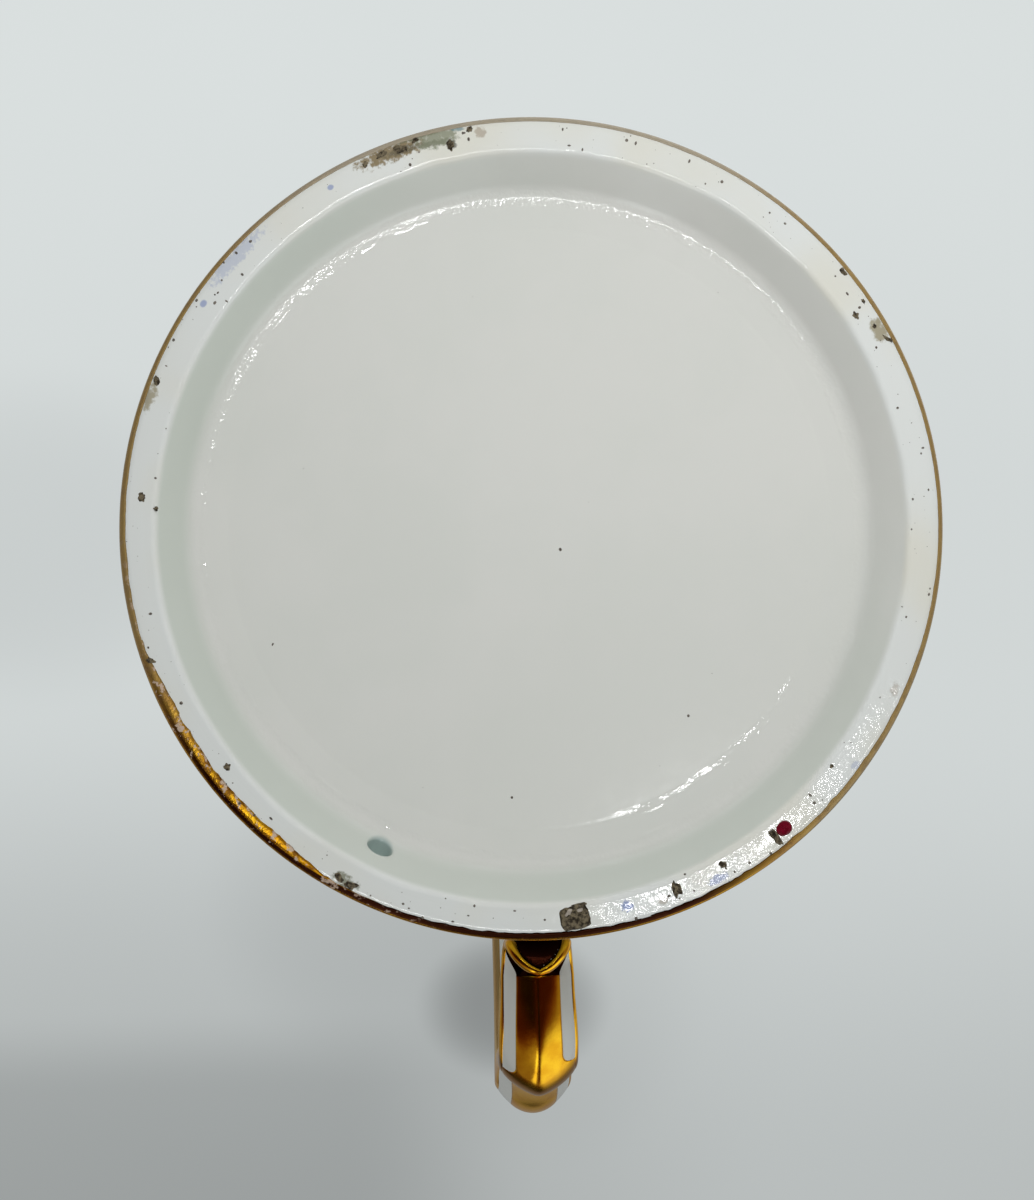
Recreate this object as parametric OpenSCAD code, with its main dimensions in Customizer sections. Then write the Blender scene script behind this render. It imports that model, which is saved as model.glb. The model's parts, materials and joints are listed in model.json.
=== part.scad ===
/* [Cup] */
// Outside diameter of the straight wall
cup_d = 62; // [52:0.5:76]
// Height from the standing ring to the rim
cup_h = 61; // [54:0.5:74]
// Thickness of the wall
wall_t = 2.5; // [1.8:0.1:3.5]
// Thickness of the floor, between the recess and the inside
floor_t = 3.4; // [2:0.1:6]
// Fillet between the inside wall and the floor
inside_fillet_r = 5; // [1:0.5:10]
// Rounding of the lip, inside and outside
lip_r = 0.8; // [0.3:0.1:0.8]

/* [Foot] */
// Width of the standing ring, from its outer edge to the recess
ring_w = 2.6; // [2:0.1:5]
// Depth of the recess under the floor
recess_h = 4.2; // [3:0.1:7]
// How far the recess wall leans in between the ring and the recess floor
recess_lean = 2.6; // [1:0.1:4]
// Fillet between the recess wall and the recess floor
recess_fillet_r = 1.6; // [0.5:0.1:2.5]
// Rounding of the ring's outer edge
ring_outer_r = 0.8; // [0.3:0.1:1]
// Rounding of the ring's inner edge
ring_inner_r = 0.4; // [0.1:0.1:0.8]
// Diameter of the pin hole in the recess wall
pin_hole_d = 2; // [1:0.1:2.4]
// Depth of the pin hole below the recess wall
pin_hole_depth = 1.8; // [0.5:0.1:2]
// Height of the pin hole's mouth above the ring
pin_hole_z = 2.5; // [1.5:0.1:2.8]
// Turn of the pin hole from the handle, about the axis
pin_hole_turn = 28; // [-180:1:180]

/* [Handle] */
// Width of the strap
strap_w = 6.2; // [5.5:0.1:8]
// Thickness of the strap at its edges
strap_t = 2.2; // [1.6:0.1:2.8]
// Height of the ridge along the middle of the outer face
ridge_h = 1.5; // [0:0.1:2]
// How far the ear of the loop stands out from the wall
ear_reach = 16.1; // [15:0.1:22]
// Bend radius of the ear, at the middle of the strap
ear_r = 9; // [6:0.5:10.5]
// Drop from the rim to the middle of the strap's upper end
upper_drop = 10; // [6:0.5:13]
// Bend radius of the hollow waist between the ear and the elbow
waist_r = 28; // [12:1:40]
// How far the elbow stands out from the wall
elbow_reach = 13.4; // [12.5:0.1:16]
// Drop from the middle of the strap's upper end to the elbow's middle
loop_h = 27; // [25:0.5:32]
// Bend radius of the elbow, at the middle of the strap
elbow_r = 3.6; // [3:0.1:4.5]
// How far the lower arm hangs below the elbow
arm_drop = 1.1; // [0.6:0.1:3]
// Bend radius of the heel, where the arm turns down the wall
heel_r = 2.6; // [2.2:0.1:3.5]
// Length of the heel that lies along the wall
heel_run = 2; // [1:0.1:4]
// Width of the lower arm, where it meets the heel
arm_w = 5.7; // [5:0.1:7]
// Width of the strap at the heel
heel_w = 5.4; // [4:0.1:6]
// Thickness of the strap at the heel
heel_t = 1.2; // [0.8:0.1:2]
// Bend radius of the tail that curls off the wall
tail_r = 1.4; // [1.1:0.1:2.5]
// Turn of the tail away from the wall
tail_turn = 75; // [50:1:85]
// Straight end of the tail, past its curl
tail_run = 1.25; // [0.5:0.05:2]

/* [Slip joints] */
// Thickness of the slip between the wall and the strap
slip_t = 0.4; // [0.2:0.1:1]
// How far the slip of the upper joint stands out round the strap
slip_margin = 0.5; // [0.2:0.1:1.2]

/* [Gilding] */
// Thickness of the gold layers
gilt_t = 0.1; // [0.05:0.01:0.2]
// Height of the gold line on the lip
rim_line_w = 1.6; // [1:0.1:4]
// Height of the gold line on the foot
foot_line_w = 1.8; // [1.2:0.1:4]
// Width of the gold band along the ridge of the strap
band_w = 3.8; // [2:0.1:4.2]
// Width of the gold line on each edge of the strap
edge_line_w = 0.45; // [0.2:0.05:0.6]

/* [Hidden] */
$fn = 96;
PORCELAIN = [0.93, 0.94, 0.92];
SLIP = [0.88, 0.89, 0.87];
GOLD = [0.74, 0.56, 0.26];

// Cup sizes that follow from the ones above
cup_r = cup_d / 2;
recess_r = cup_r - ring_w;
inside_r = cup_r - wall_t;
inside_z = recess_h + floor_t;
corner_steps = 6;
// The foot's gold starts this many steps up the rounded edge, clear of the ring's face
foot_line_first = 2;
// Facets of the wall where the thin slip lies against it
slip_facets = 256;

// Strap sizes: half thickness at the edges, and the full reach of the ridge
half_t = strap_t / 2;
ridge_out = half_t + ridge_h;
ridge_bluntness = 0.15;
bend_step = 7;
tip_share = 0.06;
tip_thin = 0.6;
tail_fall = 1.5;
tail_point = 0.6;
heel_fade = 0.4;

// Plane in which the strap meets the slip, and the middles of its bends
seat_x = cup_r + slip_t;
ear_c = [cup_r + ear_reach - ridge_out - ear_r, cup_h - upper_drop - ear_r];
elbow_z = cup_h - upper_drop - loop_h;
elbow_c = [cup_r + elbow_reach - ridge_out - elbow_r, elbow_z];
heel_mid_x = seat_x + heel_t / 2;
heel_x = heel_mid_x + heel_r;
arm_z = elbow_z - elbow_r - arm_drop;

// The waist's circle touches the ear's and the elbow's from outside
ear_to_elbow = elbow_c - ear_c;
gap = norm(ear_to_elbow);
along = (pow(ear_r + waist_r, 2) - pow(elbow_r + waist_r, 2) + gap * gap) / (2 * gap);
aside = sqrt(pow(ear_r + waist_r, 2) - along * along);
down = ear_to_elbow / gap;
waist_c = ear_c + along * down + aside * [-down[1], down[0]];

// The belly's circle holds the elbow's and comes in level at the heel
belly_dx = elbow_c[0] - heel_x;
belly_r = (belly_dx * belly_dx + 2 * elbow_r * arm_drop + arm_drop * arm_drop) / (2 * arm_drop);
belly_c = [heel_x, arm_z + belly_r];

heel_c = [heel_x, arm_z - heel_r];
tail_c = [heel_mid_x + tail_r, arm_z - heel_r - heel_run];

// Angle of a direction in the plane of the handle
function bearing(v) = atan2(v[1], v[0]);

// Smooth step from 0 to 1
function ease(t) = t * t * (3 - 2 * t);

// Stations along a bend: place, heading, and how far through the bend it is
function bend(c, r, from, to) =
    let (steps = max(2, ceil(abs(to - from) / bend_step)), side = sign(to - from))
    [for (i = [0 : steps])
        let (a = from + (to - from) * i / steps)
        [c[0] + r * cos(a), c[1] + r * sin(a), a + side * 90, i / steps]];

// A station with the strap's width, ridge and thickness there
function shaped(s, width, ridge, thick) = [s[0], s[1], s[2], width, ridge, thick];

ear_end = bearing(waist_c - ear_c);
waist_end = bearing(elbow_c - waist_c);
elbow_start = bearing(waist_c - elbow_c);
elbow_end = bearing(elbow_c - belly_c);
ear_bend = bend(ear_c, ear_r, 90, ear_end);
waist_bend = bend(waist_c, waist_r, ear_end + 180, waist_end + 360);
elbow_bend = bend(elbow_c, elbow_r, elbow_start, elbow_end);
belly_bend = bend(belly_c, belly_r, elbow_end, -90);
heel_bend = bend(heel_c, heel_r, 90, 180);
tail_bend = bend(tail_c, tail_r, 180, 180 + tail_turn);
tail_end = tail_bend[len(tail_bend) - 1];
tail_heading = tail_end[2];
tip = [tail_end[0] + tail_run * cos(tail_heading), tail_end[1] + tail_run * sin(tail_heading)];

// Share of the heel's width that the tail keeps at a reach: the sides of a pointed arch
function tail_share(x) =
    tip_share + (1 - tip_share) * pow(1 - pow((x - seat_x) / (tip[0] - seat_x), tail_fall), tail_point);

heel_share = tail_share(heel_mid_x);

loop_stations = concat(
    [shaped([seat_x, ear_c[1] + ear_r, 0], strap_w, ridge_h, strap_t)],
    [for (s = ear_bend) shaped(s, strap_w, ridge_h, strap_t)],
    [for (i = [1 : len(waist_bend) - 1]) shaped(waist_bend[i], strap_w, ridge_h, strap_t)],
    [for (i = [1 : len(elbow_bend) - 1]) shaped(elbow_bend[i], strap_w, ridge_h, strap_t)]
);
arm_stations = concat(
    [for (i = [1 : len(belly_bend) - 1])
        let (t = belly_bend[i][3])
        shaped(
            belly_bend[i], strap_w + (arm_w - strap_w) * ease(t),
            ridge_h * (1 - heel_fade * ease(t)), strap_t
        )],
    [for (i = [1 : len(heel_bend) - 1])
        let (t = heel_bend[i][3])
        shaped(
            heel_bend[i], arm_w + (heel_w * heel_share - arm_w) * t,
            ridge_h * (1 - heel_fade) * (1 - ease(t)), strap_t + (heel_t - strap_t) * t
        )]
);
tail_stations = concat(
    [for (s = tail_bend)
        let (share = tail_share(s[0]))
        shaped(s, heel_w * share, 0, heel_t * (tip_thin + (1 - tip_thin) * share / heel_share))],
    [shaped([tip[0], tip[1], tail_heading], heel_w * tip_share, 0, heel_t * tip_thin)]
);
stations = concat(loop_stations, arm_stations, tail_stations);
tail_first = len(loop_stations) + len(arm_stations);

// Marks across the strap, as shares of its half width: the gold's borders are among them
band_u = band_w / strap_w;
edge_u = 1 - 2 * edge_line_w / strap_w;
ridge_shares = [0.25, 0.6];
half_marks = [band_u * ridge_shares[0], band_u * ridge_shares[1], band_u, edge_u, 1];
crest = len(half_marks);
outer_marks = concat([for (i = [crest - 1 : -1 : 0]) -half_marks[i]], [0], half_marks);
inner_marks = [0.88, 0.5, 0, -0.5, -0.88];
marks = len(outer_marks) + len(inner_marks);
band_marks = [crest - 3, crest + 3];
right_edge_marks = [0, 1];
left_edge_marks = [2 * crest - 1, 2 * crest];
underside_marks = [2 * crest, marks];

// Height of the ridge at a mark, as a share, and how the two faces fall off to the edge
function roof(u) =
    1 - (sqrt(u * u + pow(ridge_bluntness, 2)) - ridge_bluntness)
        / (sqrt(1 + pow(ridge_bluntness, 2)) - ridge_bluntness);
function outer_fall(u) = sqrt(1 - pow(u, 4));
function inner_fall(u) = pow(1 - pow(u, 6), 1 / 3);

// Section of the strap: places across it and out from its middle
function section(width, ridge, thick) = concat(
    [for (u = outer_marks) [u * width / 2, (thick / 2 + ridge * roof(u)) * outer_fall(u)]],
    [for (u = inner_marks) [u * width / 2, -thick / 2 * inner_fall(u)]]
);

// A place across and out from a station, in space
function placed(s, p) = [s[0] - sin(s[2]) * p[1], p[0], s[1] + cos(s[2]) * p[1]];

// Outward direction of the section at each mark
function outward(sec) = [for (k = [0 : marks - 1])
    let (t = sec[(k + 1) % marks] - sec[(k + marks - 1) % marks])
    [-t[1], t[0]] / norm(t)];

// Two triangles for each cell of a grid of points, with the columns joined up or open
function cells(rows, cols, joined, first, flip) = [
    for (i = [0 : rows - 2], k = [0 : (joined ? cols - 1 : cols - 2)])
        let (
            a = first + i * cols + k,
            b = first + i * cols + (k + 1) % cols,
            c = a + cols,
            d = b + cols
        )
        each flip ? [[a, b, d], [a, d, c]] : [[a, d, b], [a, c, d]]
];

// Solid strap through the stations
module strap() {
    rows = len(stations);
    points = [for (s = stations) each [for (p = section(s[3], s[4], s[5])) placed(s, p)]];
    head_face = [for (k = [0 : marks - 1]) k];
    tip_face = [for (k = [marks - 1 : -1 : 0]) (rows - 1) * marks + k];
    skin = cells(rows, marks, true, 0, false);
    polyhedron(points = points, faces = concat([head_face], skin, [tip_face]));
}

// Thin gold layer over part of the strap's skin, between two stations and two marks
module strap_skin(first, last, span) {
    rows = last - first + 1;
    cols = span[1] - span[0] + 1;
    grid = [for (i = [first : last])
        let (s = stations[i], sec = section(s[3], s[4], s[5]), out = outward(sec))
        [for (k = [span[0] : span[1]])
            let (m = k % marks)
            [placed(s, sec[m]), placed(s, sec[m] + gilt_t * out[m])]]];
    base = [for (row = grid) each [for (p = row) p[0]]];
    top = [for (row = grid) each [for (p = row) p[1]]];
    n = rows * cols;
    rim = concat(
        [for (k = [0 : cols - 1]) k],
        [for (i = [1 : rows - 1]) i * cols + cols - 1],
        [for (k = [cols - 2 : -1 : 0]) (rows - 1) * cols + k],
        [for (i = [rows - 2 : -1 : 1]) i * cols]
    );
    sides = [for (j = [0 : len(rim) - 1])
        let (a = rim[j], b = rim[(j + 1) % len(rim)])
        each [[a, b + n, b], [a, a + n, b + n]]];
    polyhedron(
        points = concat(base, top),
        faces = concat(cells(rows, cols, false, 0, true), cells(rows, cols, false, n, false), sides)
    );
}

// Points of a corner of an outline, rounded between its two neighbours
function corner(a, p, b, r) =
    let (
        u = (a - p) / norm(a - p),
        v = (b - p) / norm(b - p),
        half = acos(u * v) / 2,
        c = p + (u + v) / norm(u + v) * r / sin(half),
        start = bearing(p + u * r / tan(half) - c),
        raw = bearing(p + v * r / tan(half) - c) - start,
        sweep = raw > 180 ? raw - 360 : (raw < -180 ? raw + 360 : raw)
    )
    [for (i = [0 : corner_steps])
        let (t = start + sweep * i / corner_steps)
        c + r * [cos(t), sin(t)]];

// Outline of the cup from the axis, as radius and height
recess_corner = [recess_r - recess_lean, recess_h];
ring_inner = [recess_r, 0];
ring_outer = [cup_r, 0];
lip_outer = [cup_r, cup_h];
lip_inner = [inside_r, cup_h];
floor_corner = [inside_r, inside_z];
cup_outline = concat(
    [[0, recess_h]],
    corner([0, recess_h], recess_corner, ring_inner, recess_fillet_r),
    corner(recess_corner, ring_inner, ring_outer, ring_inner_r),
    corner(ring_inner, ring_outer, lip_outer, ring_outer_r),
    corner(ring_outer, lip_outer, lip_inner, lip_r),
    corner(lip_outer, lip_inner, floor_corner, lip_r),
    corner(lip_inner, floor_corner, [0, inside_z], inside_fillet_r),
    [[0, inside_z]]
);

// The pin hole runs square to the recess wall
pin_at = [recess_r - recess_lean * pin_hole_z / recess_h, pin_hole_z];
pin_tilt = atan2(recess_h, recess_lean);

module pin_hole() {
    rotate([0, 0, pin_hole_turn])
        translate([pin_at[0], 0, pin_at[1]])
            rotate([0, pin_tilt, 0])
                translate([0, 0, -pin_hole_d])
                    cylinder(d = pin_hole_d, h = pin_hole_d + pin_hole_depth);
}

module cup_body() {
    color(PORCELAIN)
        difference() {
            rotate_extrude() polygon(cup_outline);
            pin_hole();
        }
}

module handle() {
    color(PORCELAIN) strap();
}

// Block of slip between the wall and the strap's seat, of a given outline across and up
module slip_pad(z) {
    depth = slip_t + wall_t;
    difference() {
        translate([seat_x - depth, 0, z])
            rotate([90, 0, 90])
                linear_extrude(depth) children();
        cylinder(r = cup_r, h = cup_h, $fn = slip_facets);
    }
}

module upper_slip_joint() {
    color(SLIP)
        slip_pad(ear_c[1] + ear_r)
            polygon(section(strap_w + 2 * slip_margin, ridge_h, strap_t + 2 * slip_margin));
}

module lower_slip_joint() {
    color(SLIP)
        slip_pad(heel_c[1] - heel_run / 2)
            square([heel_w * heel_share * inner_marks[0], heel_run], center = true);
}

// Ring of gold on an outline's rounded corner and the wall beside it
module gilt_ring(outline) {
    color(GOLD) rotate_extrude() polygon(outline);
}

module gilt_rim_line() {
    lip_c = [cup_r - lip_r, cup_h - lip_r];
    turns = [for (i = [0 : corner_steps]) 90 * i / corner_steps];
    gilt_ring(concat(
        [[cup_r, cup_h - rim_line_w], [cup_r + gilt_t, cup_h - rim_line_w]],
        [for (a = turns) lip_c + (lip_r + gilt_t) * [cos(a), sin(a)]],
        [for (i = [corner_steps : -1 : 0]) lip_c + lip_r * [cos(turns[i]), sin(turns[i])]]
    ));
}

module gilt_foot_line() {
    foot_c = [cup_r - ring_outer_r, ring_outer_r];
    turns = [for (i = [foot_line_first : corner_steps]) -90 + 90 * i / corner_steps];
    last = len(turns) - 1;
    gilt_ring(concat(
        [[cup_r, foot_line_w]],
        [for (i = [last : -1 : 0]) foot_c + ring_outer_r * [cos(turns[i]), sin(turns[i])]],
        [for (a = turns) foot_c + (ring_outer_r + gilt_t) * [cos(a), sin(a)]],
        [[cup_r + gilt_t, foot_line_w]]
    ));
}

module gilt_handle_band() {
    color(GOLD) strap_skin(0, tail_first - 1, band_marks);
}

module gilt_handle_edges() {
    color(GOLD) {
        strap_skin(0, tail_first - 1, right_edge_marks);
        strap_skin(0, tail_first - 1, left_edge_marks);
    }
}

module gilt_tail() {
    color(GOLD) strap_skin(tail_first + 1, len(stations) - 1, underside_marks);
}

cup_body();
handle();
upper_slip_joint();
lower_slip_joint();
gilt_rim_line();
gilt_foot_line();
gilt_handle_band();
gilt_handle_edges();
gilt_tail();
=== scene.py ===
# %% [markdown]
# A porcelain cup with a gilded strap handle, seen from below.
# The imported solids give the real sizes and places. This lesson dresses them: it makes each
# piece again with a potter's and gilder's small faults, and leaves the solids where they are.
# The solids' boxes are read here for the cup's sizes.

# %% Load the frame
import json
import math

import bmesh
import bpy
import numpy as np
from mathutils import Matrix, Vector, noise

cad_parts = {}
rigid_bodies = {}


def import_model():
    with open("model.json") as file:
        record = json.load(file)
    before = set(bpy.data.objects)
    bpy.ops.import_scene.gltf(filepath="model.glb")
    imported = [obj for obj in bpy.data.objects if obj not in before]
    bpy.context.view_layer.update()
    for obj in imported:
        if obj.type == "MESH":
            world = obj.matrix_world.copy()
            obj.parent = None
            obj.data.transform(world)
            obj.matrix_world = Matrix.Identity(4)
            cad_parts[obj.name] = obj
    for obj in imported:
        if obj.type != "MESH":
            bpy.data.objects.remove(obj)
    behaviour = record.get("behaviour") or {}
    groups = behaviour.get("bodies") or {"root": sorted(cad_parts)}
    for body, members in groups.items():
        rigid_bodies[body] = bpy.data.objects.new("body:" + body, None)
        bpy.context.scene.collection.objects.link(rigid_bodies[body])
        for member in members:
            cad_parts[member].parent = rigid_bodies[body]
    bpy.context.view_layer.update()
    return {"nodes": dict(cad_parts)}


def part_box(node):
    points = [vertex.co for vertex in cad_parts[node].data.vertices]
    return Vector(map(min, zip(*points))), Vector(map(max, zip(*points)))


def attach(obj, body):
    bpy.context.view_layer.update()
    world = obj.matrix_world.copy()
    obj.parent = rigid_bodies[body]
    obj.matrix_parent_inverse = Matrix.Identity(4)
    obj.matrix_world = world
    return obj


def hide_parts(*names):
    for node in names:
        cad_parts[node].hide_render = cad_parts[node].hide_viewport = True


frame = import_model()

MM = 0.001
scene = bpy.context.scene
scene.view_settings.view_transform = "Standard"
print("solids:", sorted(frame["nodes"]))

# %% [markdown]
# The cup lies mouth down in front of the camera, so the camera looks up along the cup's axis
# from under its foot. A long lens from 42 cm keeps the wall hidden behind the foot, and a small
# sideways step shows the strap's far side. Turning the camera by its three axes is plainer here
# than angles: right, up and back are worked out and set as the columns of its matrix.

# %% Camera under the foot
IMAGE_LONG_SIDE = 1200
FOOT_RADIUS_IN_IMAGE = 412.5
SENSOR = 36.0
EYE = Vector((11.37, 12.89, -420)) * MM
AIM = Vector((5.38, 1.29, 0)) * MM
ROLL = math.radians(1.6)

cup_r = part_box("cup_body")[1].x
cup_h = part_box("cup_body")[1].z
forward = (AIM - EYE).normalized()
image_right = Vector((math.sin(ROLL), -math.cos(ROLL), 0))
image_right = (image_right - forward * image_right.dot(forward)).normalized()
image_up = image_right.cross(forward)
camera_data = bpy.data.cameras.new("camera")
camera_data.sensor_width = SENSOR
camera_data.lens = FOOT_RADIUS_IN_IMAGE * -EYE.z / cup_r / IMAGE_LONG_SIDE * SENSOR
camera = bpy.data.objects.new("camera", camera_data)
scene.collection.objects.link(camera)
camera_turn = Matrix((image_right, image_up, -forward)).transposed().to_4x4()
camera.matrix_world = Matrix.Translation(EYE) @ camera_turn
scene.camera = camera
print("lens", round(camera_data.lens, 2), "mm")

# %% [markdown]
# Node trees make the shapes and the finishes. Written out node by node they get long, so a
# number on a link is wrapped as a Value here: a plain sum on it, such as a * b + c, adds the
# Math nodes. add() makes any other kind of node, and value() gives one output of it.

# %% Helpers for node trees
def feed(node, inputs):
    """Fills a node's sockets with plain values or with links."""
    for key, given in inputs.items():
        if isinstance(given, Value):
            node.id_data.links.new(given.socket, node.inputs[key])
        else:
            node.inputs[key].default_value = given


def add(tree, kind, inputs=None, **options):
    """A new node with its options set and its sockets filled."""
    node = tree.nodes.new(kind)
    for name, option in options.items():
        setattr(node, name, option)
    feed(node, inputs or {})
    return node


def value(tree, kind, inputs=None, key=0, **options):
    """What a new node gives out at one of its outputs."""
    return Value(add(tree, kind, inputs, **options).outputs[key])


def operation(name, swapped=False):
    """A sum of two values, as a method that adds one Math node."""
    def method(self, other):
        parts = {0: other, 1: self} if swapped else {0: self, 1: other}
        return value(self.tree, "ShaderNodeMath", parts, operation=name)
    return method


class Value:
    """A number, place or shape on a link of a node tree."""
    __add__ = __radd__ = operation("ADD")
    __sub__ = operation("SUBTRACT")
    __rsub__ = operation("SUBTRACT", swapped=True)
    __mul__ = __rmul__ = operation("MULTIPLY")
    __truediv__ = operation("DIVIDE")
    __rtruediv__ = operation("DIVIDE", swapped=True)
    __pow__ = operation("POWER")

    def __init__(self, socket):
        self.socket = socket
        self.tree = socket.id_data

    def math(self, name, other=0.0):
        """Any other Math node on this number."""
        return operation(name)(self, other)


# %% [markdown]
# A few more helpers read places and make soft patterns from them. between() is the one used most:
# it turns a distance into a smooth share from 0 to 1, so that no border in a finish is hard.

# %% Helpers for patterns
def axes_of(place):
    """The x, y and z of a place."""
    return [Value(s) for s in add(place.tree, "ShaderNodeSeparateXYZ", {0: place}).outputs]


def vector(x, y, z=0.0):
    """A place from its x, y and z."""
    return value(x.tree, "ShaderNodeCombineXYZ", {0: x, 1: y, 2: z})


def from_axis(x, y):
    """Distance from the cup's axis."""
    return (x * x + y * y).math("SQRT")


def between(number, low, high):
    """A smooth step from 0 at low to 1 at high."""
    inputs = {"Value": number, "From Min": low, "From Max": high}
    return value(number.tree, "ShaderNodeMapRange", inputs, "Result", interpolation_type="SMOOTHSTEP")


def within(number, start, full, last, end):
    """1 from full to last, going smoothly to 0 at start and at end."""
    return between(number, start, full) * between(number, end, last)


def noise_of(place, size, detail=2.0, rough=0.5):
    """Soft noise whose lumps are about the given size."""
    inputs = {"Vector": place, "Scale": 1 / size, "Detail": detail, "Roughness": rough}
    return value(place.tree, "ShaderNodeTexNoise", inputs, "Fac")


# %% [markdown]
# A shape that follows a rule is grown by a Geometry Nodes tree with named inputs. It is kept as a
# plain mesh, because an exported model holds meshes and no modifiers. Each finished piece rides
# on the cup and names the solids that it stands for.

# %% Helpers for pieces
def new_tree(name, **inputs):
    """A Geometry Nodes tree with inputs listed by kind; returns the tree and its inputs as values."""
    tree = bpy.data.node_groups.new(name, "GeometryNodeTree")
    for kind, labels in inputs.items():
        for label in labels:
            tree.interface.new_socket(label, in_out="INPUT", socket_type="NodeSocket" + kind)
    tree.interface.new_socket("Geometry", in_out="OUTPUT", socket_type="NodeSocketGeometry")
    return tree, {s.name: Value(s) for s in tree.nodes.new("NodeGroupInput").outputs}


def shaped(shape, kind, inputs=None, **options):
    """A shape after one more geometry node."""
    return value(shape.tree, "GeometryNode" + kind, {"Geometry": shape, **(inputs or {})}, **options)


def coat(shape, material):
    """Ends a tree: the shape becomes one smooth mesh with its finish."""
    plain = shaped(shaped(shape, "SetShadeSmooth"), "RealizeInstances")
    finished = shaped(plain, "SetMaterial", {"Material": material})
    add(shape.tree, "NodeGroupOutput", {0: finished})


def grow(name, tree, values):
    """Runs a tree and keeps what it makes as a plain mesh object; inputs that aren't named stay 0."""
    piece = bpy.data.objects.new(name, bpy.data.meshes.new(name))
    scene.collection.objects.link(piece)
    modifier = piece.modifiers.new("make", "NODES")
    modifier.node_group = tree
    for item in tree.interface.items_tree:
        if item.in_out == "INPUT" and item.name in values:
            modifier[item.identifier] = values[item.name]
    keep_result(piece, modifier)
    return outward(piece)


def keep_result(piece, modifier):
    """Makes a modifier's result the piece's own mesh."""
    made = piece.evaluated_get(bpy.context.evaluated_depsgraph_get())
    mesh = bpy.data.meshes.new_from_object(made)
    piece.modifiers.remove(modifier)
    piece.data = mesh
    mesh.name = piece.name


def outward(piece):
    """Turns every face of a closed piece to the outside."""
    faces = bmesh.new()
    faces.from_mesh(piece.data)
    bmesh.ops.recalc_face_normals(faces, faces=faces.faces)
    faces.to_mesh(piece.data)
    faces.free()
    return piece


def settle(piece, slot, *nodes):
    """The piece rides on the cup and stands for the named solids, which are hidden; slot is not used."""
    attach(piece, "root")
    if nodes:
        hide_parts(*nodes)
    triangles = sum(len(p.vertices) - 2 for p in piece.data.polygons)
    print(piece.name, triangles, "triangles")
    return piece


# %% [markdown]
# A finish is a Principled shader fed with colours and bumps. All patterns read Object coordinates,
# so they stay on the cup wherever it goes, and they are turned into millimetres at once, which
# keeps the numbers in the finishes the same as those on a ruler.

# %% Helpers for finishes
def empty_nodes(block):
    """The cleared node tree of a new material or world."""
    block.use_nodes = True
    block.node_tree.nodes.clear()
    return block.node_tree


def place_in_mm(tree):
    """Object coordinates in millimetres."""
    metres = value(tree, "ShaderNodeTexCoord", key="Object")
    return value(tree, "ShaderNodeVectorMath", {0: metres, "Scale": 1 / MM}, operation="SCALE")


def new_material(name):
    """A material, its main shader and the place that its patterns read."""
    material = bpy.data.materials.new(name)
    tree = empty_nodes(material)
    shader = add(tree, "ShaderNodeBsdfPrincipled")
    add(tree, "ShaderNodeOutputMaterial", {"Surface": Value(shader.outputs[0])})
    return material, shader, place_in_mm(tree)


def mixed(share, first, second):
    """A colour between two others, each of them plain or a value."""
    node = add(share.tree, "ShaderNodeMix", {"Factor": share}, data_type="RGBA")
    for key, colour in ((6, first), (7, second)):
        feed(node, {key: colour if isinstance(colour, Value) else (*colour, 1.0)})
    return Value(node.outputs[2])


def bumped(height, depth, below=None, strength=1.0):
    """A bump of a real depth in millimetres, on top of an earlier one."""
    inputs = {"Height": height, "Distance": depth * MM, "Strength": strength}
    if below:
        inputs["Normal"] = below
    return value(height.tree, "ShaderNodeBump", inputs)


# %% [markdown]
# The standing ring of an old cup is stained: cobalt from the decorator's bench, rust and soot from
# the kiln, earth in the worn places. Stains have no thickness, so they are colours in the glaze.
# Each row of the table has a turn round the cup in degrees, a radius, half a length, half a width
# and a grain in millimetres, a colour and an amount. Noise frays their borders.

# %% Stains on the ring
COBALT = (0.15, 0.23, 0.55)
RUST = (0.30, 0.20, 0.11)
MOSS = (0.20, 0.20, 0.12)
OLIVE = (0.36, 0.31, 0.19)
LICHEN = (0.24, 0.26, 0.17)
SOOT = (0.09, 0.09, 0.065)
EARTH = (0.25, 0.18, 0.075)
PETROL = (0.12, 0.25, 0.28)
STAINS = [
    (134, 30.2, 3.4, 0.7, 0.28, COBALT, 0.3),
    (126, 29.9, 0.35, 0.3, 2, COBALT, 0.6),
    (151, 29.8, 0.3, 0.25, 2, COBALT, 0.6),
    (-12.6, 29.3, 0.6, 0.55, 0.22, COBALT, 0.75),
    (-26.4, 29.9, 1.0, 0.45, 0.25, COBALT, 0.6),
    (-52, 30.2, 0.5, 0.35, 0.4, COBALT, 0.3),
    (-17.7, 29.7, 0.5, 0.4, 0.4, RUST, 0.4),
    (-64.4, 29.9, 0.7, 0.5, 0.4, RUST, 0.35),
    (29.5, 30.0, 1.3, 0.6, 0.4, MOSS, 0.8),
    (160.8, 30.2, 3.2, 0.9, 0.35, EARTH, 0.9),
    (163, 30.05, 2.4, 0.35, 0.25, SOOT, 0.5),
    (165, 30.75, 2.6, 0.3, 0.3, MOSS, 0.8),
    (167.5, 29.9, 1.6, 0.3, 0.2, SOOT, 0.6),
    (167.8, 30.2, 2.0, 0.85, 0.45, LICHEN, 0.8),
    (169.7, 29.5, 0.5, 0.5, 0.3, SOOT, 0.8),
    (171.3, 30.7, 0.7, 0.35, 0.4, PETROL, 0.7),
    (174.2, 30.1, 0.5, 0.55, 0.4, RUST, 0.5),
    (110.6, 30.4, 1.3, 0.6, 0.4, OLIVE, 0.8),
    (-118.2, 30.2, 1.2, 0.8, 0.6, OLIVE, 0.85),
    (50, 30.3, 5.0, 0.45, 0.5, RUST, 0.45),
]


def compass(degrees):
    """A step of length 1 in a direction, as its two parts."""
    turn = math.radians(degrees)
    return math.cos(turn), math.sin(turn)


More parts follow.
